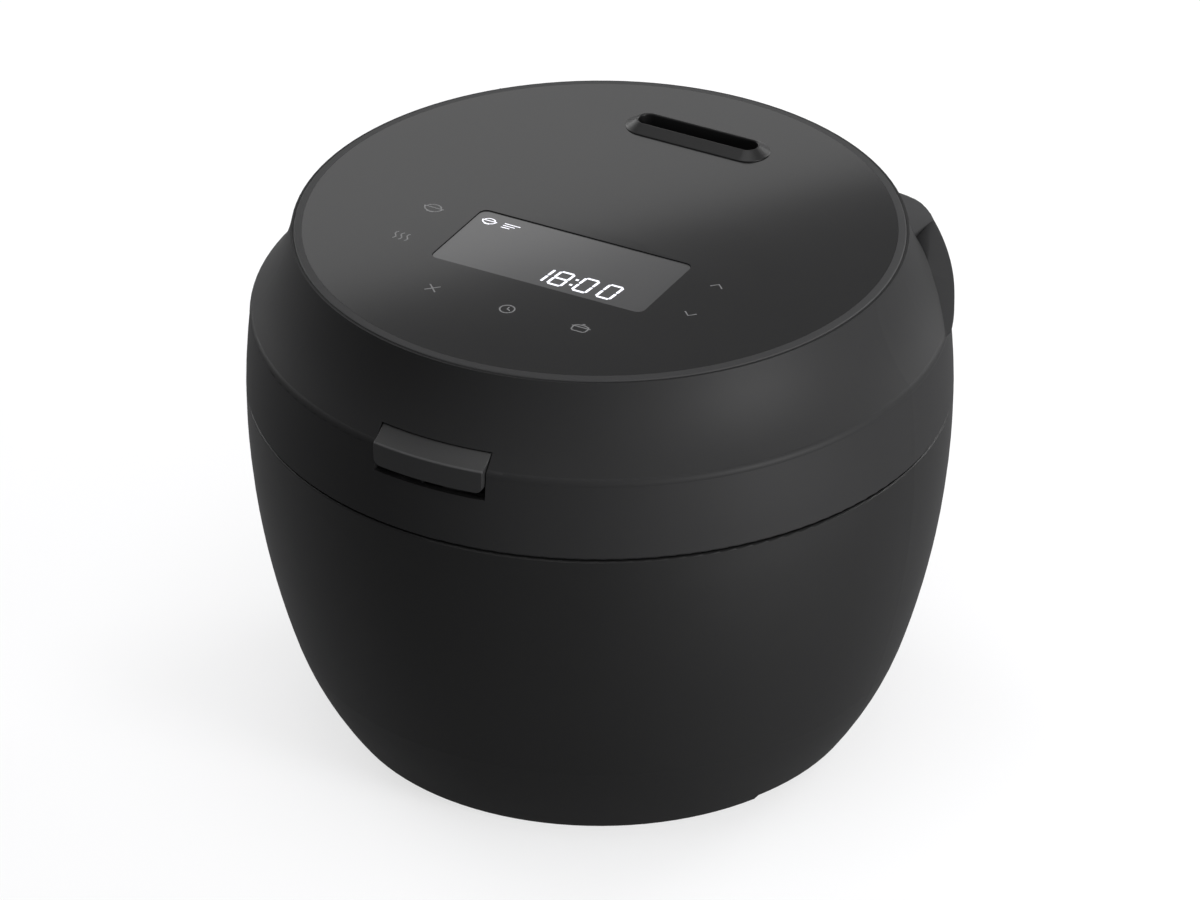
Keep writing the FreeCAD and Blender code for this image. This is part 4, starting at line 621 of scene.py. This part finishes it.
def make_ear(side):
    """A flat plate with a curved top, that stands across the shoulder from the panel's rim to the skin."""
    outline = [
        (0, 210.8), (5.0, 207.4), (10.0, 203.7), (13.5, 200.6), (16.5, 197.2), (19.2, 193.6), (21.0, 190.4),
        (21.1, 184.0), (21.1, COLLAR_FOOT), (15.9, 178.5), (10.0, 186.5), (5.0, 194.5), (0, 205.0),
    ]
    inner_end = round_the_back(119.2, 48.2, 0)
    outwards = (round_the_back(COLLAR_SKIN, EAR_END, 0) - inner_end).normalized()
    thickness = (-3.0 * side, 3.1, -2.0)
    corners = []
    for step, height in outline:
        place = inner_end + outwards * step
        corners.append((place.x * side, place.y, height))
    plate(corners, thickness)
    eased(COLLAR_EDGE)
    return bpy.context.object


def slope_plate(upper, lower, side):
    """A thick plate that lies on a slope from one place to the next, level across it."""
    half_width, thickness = 30, 60
    along = lower - upper
    across = along.cross(Vector((0, 0, 1))).normalized() * half_width
    start, end = upper - along, lower + along * 2
    corners = (start - across, end - across, end + across, start + across)
    return plate([(corner.x * side, corner.y, corner.z) for corner in corners], (0, 0, thickness))


def make_fin(side, start):
    """A wall along the lid's crease, cut down to the slope that falls from the ear."""
    section = arc(*COVE, 210.2, 5) + [(136.4, 190.6), (COLLAR_SKIN, 190.2), (COLLAR_SKIN, COLLAR_FOOT)]
    spun(section, start=start, turn=29, steps=36)
    bpy.ops.object.mode_set(mode="OBJECT")
    fin = bpy.context.object
    places = [round_the_back(COLLAR_SKIN, angle, height) for angle, height in SLOPE]
    cutters = [slope_plate(upper, lower, side) for upper, lower in zip(places, places[1:])]
    take(fin)
    cut_by(*cutters)
    eased(COLLAR_EDGE)
    return bpy.context.object


def make_collar():
    """A low ring, with an ear at each side and a fin that runs down from it along the lid's crease."""
    pieces = [make_ring()]
    for side, fin_start in ((1, 47), (-1, 162)):
        pieces += [make_ear(side), make_fin(side, fin_start)]
    joined(pieces)
    # The collar takes the paler copy of the lid plastic: painted light
    fitted("collar_moulding", "lid", "lid_plastic", COLLAR_PAINTED_LIGHT, "hinge_cover")


# Key marks: printed lines on the panel


def wave(across, height):
    """An upright line that sways once to each side."""
    steps, sway = 8, 0.7
    turns = [step / steps for step in range(steps + 1)]
    return [(across + sway * math.sin(turn * math.tau), height * (turn - 0.5)) for turn in turns]


KEY_MARKS = {
    "bowl": [
        [(-4.3, 0.5), (4.3, 0.5)], arc((0, 0.5), 3.8, 3.1, 180, 360),
        arc((0, 0.5), 3.0, 2.3, 180, 0), [(-1.5, -2.9), (1.5, -2.9)],
    ],
    "warm": [wave(-2.6, 5.4), wave(0, 5.4), wave(2.6, 5.4)],
    "cancel": [[(-2.3, -2.3), (2.3, 2.3)], [(-2.3, 2.3), (2.3, -2.3)]],
    "timer": [arc((0, 0), 2.9, 2.9, 0, 345, 24) + [(2.9, 0)], [(0, 1.8), (0, 0), (1.5, -0.7)]],
    "cook": [
        [(-3.2, 0.4), (-3.0, -1.8), (-2.2, -2.6), (2.2, -2.6), (3.0, -1.8), (3.2, 0.4)],
        [(-4.0, 0.6), (4.0, 0.6)], arc((0, 0.6), 3.1, 1.5, 180, 0), [(-0.6, 2.9), (0.6, 2.9)],
    ],
    "up": [[(-2.5, -1.2), (0, 1.3), (2.5, -1.2)]],
    "down": [[(-2.5, 1.2), (0, -1.3), (2.5, 1.2)]],
}
KEY_PLACES = {
    "bowl": (-63.3, -18.5),
    "warm": (-63.2, -43.6),
    "cancel": (-32.8, -73.1),
    "timer": (0, -73.5),
    "cook": (31.4, -72.9),
    "up": (61.8, -19.6),
    "down": (62.6, -43.7),
}
INK_WIDTH = 0.6
INK_FLATNESS = 0.08
INK_LIFT = 0.02


def stroke(points, width):
    """A printed line: a thin bead drawn along its points and pressed flat."""
    wire([(x, y, 0) for x, y in points], False)
    bpy.ops.object.mode_set(mode="OBJECT")
    bpy.ops.object.convert(target="CURVE")
    line = bpy.context.object
    line.data.bevel_depth = width / 2 * MM
    line.data.bevel_resolution = 2
    line.data.use_fill_caps = True
    bpy.ops.object.convert(target="MESH")
    edit_all()
    bpy.ops.transform.resize(value=(1, 1, INK_FLATNESS), center_override=(0, 0, 0))
    bpy.ops.object.mode_set(mode="OBJECT")
    return bpy.context.object


def print_mark(name, strokes, width, size, place, height, material, slot):
    """A mark of several strokes, scaled and set at its place on a surface of the lid."""
    joined([stroke([(x * size, y * size) for x, y in points], width) for points in strokes])
    edit_all()
    shift((*place, height))
    fitted(name, "lid", slot, material)


# Display: a clock in lit segments, and the menu marks in the window's corner

DIGIT_HEIGHT = 11.4
DIGIT_WIDTH = 6.8
SEGMENT = 1.1
SEGMENT_GAP = 0.15
SLANT = 0.09
SEGMENT_THICKNESS = (0, 0, 0.03)
DIGITS = {"0": "abcdef", "1": "bc", "8": "abcdefg"}
CLOCK = (("1", -2.1), ("8", 6.4), ("0", 17.2), ("0", 27.6))
CLOCK_Y = -42.8
COLON_X = 12.1
COLON_Y = 2.2
COLON_DOT = 0.6
MENU_WIDTH = 0.5
MENU_BARS = [[(-3.4, y), (3.4 - 1.6 * row, y)] for row, y in enumerate((1.5, 0, -1.5))]


def segment_outline(half):
    """A bar of a given half length, pointed at both ends, that stops short of its neighbours."""
    tip = SEGMENT / 2
    return [
        (SEGMENT_GAP - half, 0), (tip - half, tip), (half - tip, tip),
        (half - SEGMENT_GAP, 0), (half - tip, -tip), (tip - half, -tip),
    ]


def make_clock():
    """One level and one upright segment are cut as plates, and copied into digits."""
    end = DIGIT_WIDTH / 2 - SEGMENT / 2
    top = (DIGIT_HEIGHT - SEGMENT) / 4
    level = plate([(along, aside, 0) for along, aside in segment_outline(end)], SEGMENT_THICKNESS)
    upright_outline = [(aside + SLANT * along, along, 0) for along, aside in segment_outline(top)]
    upright = plate(upright_outline, SEGMENT_THICKNESS)
    dot_corners = ((-1, -1), (1, -1), (1, 1), (-1, 1))
    dot = plate([(x * COLON_DOT, y * COLON_DOT, 0) for x, y in dot_corners], SEGMENT_THICKNESS)
    places = {
        "a": (level, 0, 2 * top), "g": (level, 0, 0), "d": (level, 0, -2 * top),
        "b": (upright, end, top), "c": (upright, end, -top),
        "f": (upright, -end, top), "e": (upright, -end, -top),
    }
    segments = []
    for digit, middle in CLOCK:
        for letter in DIGITS[digit]:
            shape, x, y = places[letter]
            segments.append(copied(shape, (middle + x + SLANT * y, CLOCK_Y + y, WINDOW_TOP)))
    for y in (-COLON_Y, COLON_Y):
        segments.append(copied(dot, (COLON_X + SLANT * y, CLOCK_Y + y, WINDOW_TOP)))
    joined(segments)
    bpy.ops.object.transform_apply(location=True, rotation=False, scale=False)
    fitted("clock_segments", "lid", "window_plastic", LIT)
    for shape in (level, upright, dot):
        bpy.data.objects.remove(shape)


# Top panel: a glossy disc with its window and the vent's opening, in a satin rim


def panel_plug(outline):
    """A plate right through the panel, to cut an opening with."""
    foot, height = 205, 10
    return plate([(x, y, foot) for x, y in outline], (0, 0, height))


def make_panel():
    """A disc, cut by two plugs that leave a small gap round the window and the vent."""
    under = 209.0
    spun([(0, under), (GLOSS_RADIUS, under), (GLOSS_RADIUS, PANEL_TOP), (0, PANEL_TOP)], steps=192)
    bpy.ops.object.mode_set(mode="OBJECT")
    panel = bpy.context.object
    corner = WINDOW_CORNER + PANEL_GAP
    outline = []
    for x, y, start in ((1, 1, 0), (-1, 1, 90), (-1, -1, 180), (1, -1, 270)):
        middle = (x * (WINDOW_HALF[0] - WINDOW_CORNER), WINDOW_Y + y * (WINDOW_HALF[1] - WINDOW_CORNER))
        outline += arc(middle, corner, corner, start, start + 90, 9)
    window_plug = panel_plug(outline)
    neck = VENT_NECK + PANEL_GAP
    outline = []
    for side, start in ((1, -90), (-1, 90)):
        outline += arc((side * VENT_STRETCH, VENT_PLACE[1]), neck, neck, start, start + 180, 25)
    vent_plug = panel_plug(outline)
    take(panel)
    cut_by(window_plug, vent_plug)
    eased(0.05, 2)
    fitted("panel_disc", "lid", "panel_plastic", FINISHES["panel_plastic"], "top_panel")


def make_panel_rim():
    """The rim is flush with the disc at its inner edge, and falls a little to a small round at the brim."""
    inner, neck, brim, brim_round = GLOSS_RADIUS + 0.03, 117.3, 118.18, 0.6
    foot, ledge = 206.5, 207.2
    outline = [(inner, foot), (neck, foot), (neck, ledge), (brim, ledge)]
    outline += arc((brim - brim_round, PANEL_TOP - 1.0), brim_round, brim_round, 0, 80, 6)
    outline += [(inner, PANEL_TOP)]
    spun(outline, steps=192)
    smoothed(30)
    fitted("panel_rim", "lid", "lid_plastic", RIM_SATIN)


# Inside of the lid: pressed inner lid, gasket and screws


def peg(x, y, radius, low, high):
    """A round bar to cut a hole with, in mm."""
    clear()
    bpy.ops.mesh.primitive_cylinder_add(
        vertices=48, radius=radius * MM, depth=(high - low) * MM,
        location=(x * MM, y * MM, (low + high) / 2 * MM),
    )
    return bpy.context.object


def make_inner_lid():
    """The sheet over the pot, with two rings and its middle pressed down, a valve hole and a safety hole."""
    (_, _, under), (reach, _, top) = solid_box("inner_lid")
    deep, shallow = 142.6, 142.9
    safety_place, valve_hole, safety_hole = (30, 58), 4.0, 2.5
    peg_low, peg_high = 140, 150
    spun(
        [
            (0, top), (109.2, top), (reach, 144.6), (109.2, under), (95.0, under), (93.4, deep),
            (89.6, deep), (88.0, under), (58.0, under), (56.6, shallow), (51.4, shallow), (50.0, under),
            (22.0, under), (20.4, shallow), (0, shallow),
        ],
        steps=128,
    )
    eased(0.5, 3, 20)
    sheet = bpy.context.object
    holes = [
        peg(*VENT_PLACE, valve_hole, peg_low, peg_high),
        peg(*safety_place, safety_hole, peg_low, peg_high),
    ]
    take(sheet)
    cut_by(*holes)
    smoothed()
    fitted("inner_lid_sheet", "lid", "lid_metal", FINISHES["lid_metal"], "inner_lid")


def make_gasket():
    """A soft ring with a rounded lip that closes on the pot's rim."""
    (_, _, lip), (outer, _, top) = solid_box("pot_gasket")
    inner, shoulder, bevel = 101.0, 142.6, 141.0
    spun(
        [
            (inner, top), (inner, shoulder), (102.4, bevel), (103.6, lip), (105.4, lip),
            (106.6, bevel), (outer, shoulder), (outer, top),
        ],
        steps=128,
    )
    eased(0.5, 3, 20)
    fitted("pot_seal", "lid", "gasket_rubber", FINISHES["gasket_rubber"], "pot_gasket")


def make_lid_screws():
    """One pan-head screw with a cross recess, copied round the lid's underside."""
    (_, _, face), _ = solid_box("lid_screws")
    head, head_top, shank, shank_top = 3.5, 146.9, 1.5, 163.0
    arm_length, arm_half, arm_start, arm_height = 2.0, 0.45, 145.0, 1.4
    ring, angles = 124.0, (45, 135, 200, 240, 300, 340)
    spun(
        [
            (0, face), (2.6, face), (head, 146.1), (head, head_top), (shank, head_top), (shank, shank_top),
            (0, shank_top),
        ],
        steps=32,
    )
    eased(0.2, 2)
    screw = bpy.context.object
    arms = []
    for along, across in ((arm_length, arm_half), (arm_half, arm_length)):
        outline = ((-along, -across), (along, -across), (along, across), (-along, across))
        arms.append(plate([(x, y, arm_start) for x, y in outline], (0, 0, arm_height)))
    take(screw)
    cut_by(*arms)
    smoothed()
    screws = []
    for angle in angles:
        turn = math.radians(angle)
        screws.append(copied(screw, (ring * math.cos(turn), ring * math.sin(turn), 0)))
    bpy.data.objects.remove(screw)
    joined(screws)
    bpy.ops.object.transform_apply(location=True, rotation=False, scale=False)
    fitted("lid_screw_set", "lid", "steel", FINISHES["steel"], "lid_screws")


# Moulded pieces at the back, with their edges broken


def soften(node, piece_name, body, slot, width):
    """A copy of a moulded piece, with its sharp edges rounded."""
    clear()
    piece = nodes[node].copy()
    piece.data = nodes[node].data.copy()
    piece.parent = None
    bpy.context.scene.collection.objects.link(piece)
    take(piece)
    edit_all()
    bpy.ops.mesh.remove_doubles(threshold=1e-6)
    bpy.ops.mesh.customdata_custom_splitnormals_clear()
    bpy.ops.mesh.dissolve_limited(angle_limit=math.radians(1))
    eased(width)
    fitted(piece_name, body, slot, FINISHES[slot], node)


make_panel()
make_panel_rim()
make_vent()
make_release()
make_collar()
for mark, strokes in KEY_MARKS.items():
    print_mark(
        "key_" + mark, strokes, width=INK_WIDTH, size=1, place=KEY_PLACES[mark],
        height=PANEL_TOP + INK_LIFT, material=INK, slot="panel_plastic",
    )
make_clock()
print_mark(
    "menu_bowl", KEY_MARKS["bowl"], width=MENU_WIDTH, size=0.75, place=(-39.6, -16.6),
    height=WINDOW_TOP + INK_LIFT, material=LIT, slot="window_plastic",
)
print_mark(
    "menu_bars", MENU_BARS, width=MENU_WIDTH, size=1, place=(-30.0, -16.8),
    height=WINDOW_TOP + INK_LIFT, material=LIT, slot="window_plastic",
)
make_inner_lid()
make_gasket()
make_lid_screws()
soften("hinge_bracket", "hinge_bracket_moulding", "base", "body_plastic", 0.5)
soften("hinge_arms", "hinge_arm_moulding", "lid", "lid_plastic", 0.4)
soften("power_inlet", "inlet_moulding", "base", "cover_plastic", 0.4)

# The floor, the lamps, the world and the camera

BOUNCED_SHARE = 0.15


def white_over(tree, plain, white, seen_share, end):
    """Shows white over a plain shader, by one share where it is seen and a small one where it is mirrored."""
    path = tree.nodes.new("ShaderNodeLightPath")
    bounced = sums(tree, "MAXIMUM", path.outputs["Is Glossy Ray"], path.outputs["Is Transmission Ray"])
    seen = sums(tree, "MULTIPLY", path.outputs["Is Camera Ray"], seen_share)
    share = sums(tree, "MAXIMUM", seen, sums(tree, "MULTIPLY", bounced, BOUNCED_SHARE))
    blend = tree.nodes.new("ShaderNodeMixShader")
    tree.links.new(share, blend.inputs["Fac"])
    tree.links.new(plain.outputs[0], blend.inputs[1])
    tree.links.new(white.outputs[0], blend.inputs[2])
    link(tree, blend, "Shader", tree.nodes[end], "Surface")


def make_floor():
    """A wide plane that is pale to the camera, and darker where it lights the cooker from below."""
    clear()
    bpy.ops.mesh.primitive_plane_add(size=12, location=(0, 0, 0))
    floor = bpy.context.object
    floor.name = "floor"
    material, tree, shader, _ = finish("pale floor")
    shader.inputs["Roughness"].default_value = 0.9
    shader.inputs["Specular IOR Level"].default_value = 0
    path = tree.nodes.new("ShaderNodeLightPath")
    paint = mixed(tree, path.outputs["Is Camera Ray"], grey(0.28), grey(0.85))
    tree.links.new(paint, shader.inputs["Base Color"])
    white_over(tree, shader, tree.nodes.new("ShaderNodeEmission"), 0.7, "Material Output")
    floor.data.materials.append(material)


def softbox(name, azimuth, elevation, distance, width, height, power, roll=0):
    """A lamp that the camera doesn't see, aimed at the cooker: angles, metres and watts."""
    lamp = bpy.data.lights.new(name, "AREA")
    lamp.shape = "RECTANGLE"
    lamp.size = width
    lamp.size_y = height
    lamp.energy = power
    thing = bpy.data.objects.new(name, lamp)
    bpy.context.scene.collection.objects.link(thing)
    thing.location = round_the_cooker(azimuth, elevation, distance)
    thing.visible_camera = False
    aim(thing, roll)


def make_studio():
    """A dim pale room for the light, and a white backdrop for the camera."""
    world = bpy.data.worlds.new("studio")
    bpy.context.scene.world = world
    world.use_nodes = True
    tree = world.node_tree
    room = tree.nodes["Background"]
    room.inputs["Color"].default_value = grey(0.9)
    room.inputs["Strength"].default_value = 0.27
    backdrop = tree.nodes.new("ShaderNodeBackground")
    backdrop.inputs["Color"].default_value = (1, 1, 1, 1)
    white_over(tree, room, backdrop, 1, "World Output")


def place_camera():
    """A long lens, at its place round the cooker."""
    lens = bpy.data.cameras.new("camera")
    lens.lens = LENS
    lens.sensor_width = SENSOR_WIDTH
    lens.clip_end = 100
    camera = bpy.data.objects.new("camera", lens)
    bpy.context.scene.collection.objects.link(camera)
    camera.location = round_the_cooker(CAMERA_AZIMUTH, CAMERA_ELEVATION, CAMERA_DISTANCE)
    aim(camera)
    bpy.context.scene.camera = camera


make_floor()
softbox("right softbox", azimuth=78, elevation=5, distance=1.3, width=0.4, height=0.5, power=26)
softbox(
    "panel softbox", azimuth=208.7, elevation=28.3, distance=0.55, width=0.5, height=0.2, power=0.42,
    roll=13.5,
)
softbox("top softbox", azimuth=20, elevation=80, distance=1.6, width=1.2, height=1.2, power=16)
softbox("left rear softbox", azimuth=252, elevation=20, distance=1.6, width=0.8, height=0.8, power=12)
softbox("right rear softbox", azimuth=158, elevation=20, distance=1.6, width=0.6, height=0.8, power=14)
make_studio()
place_camera()
bpy.context.scene.view_settings.view_transform = "Standard"
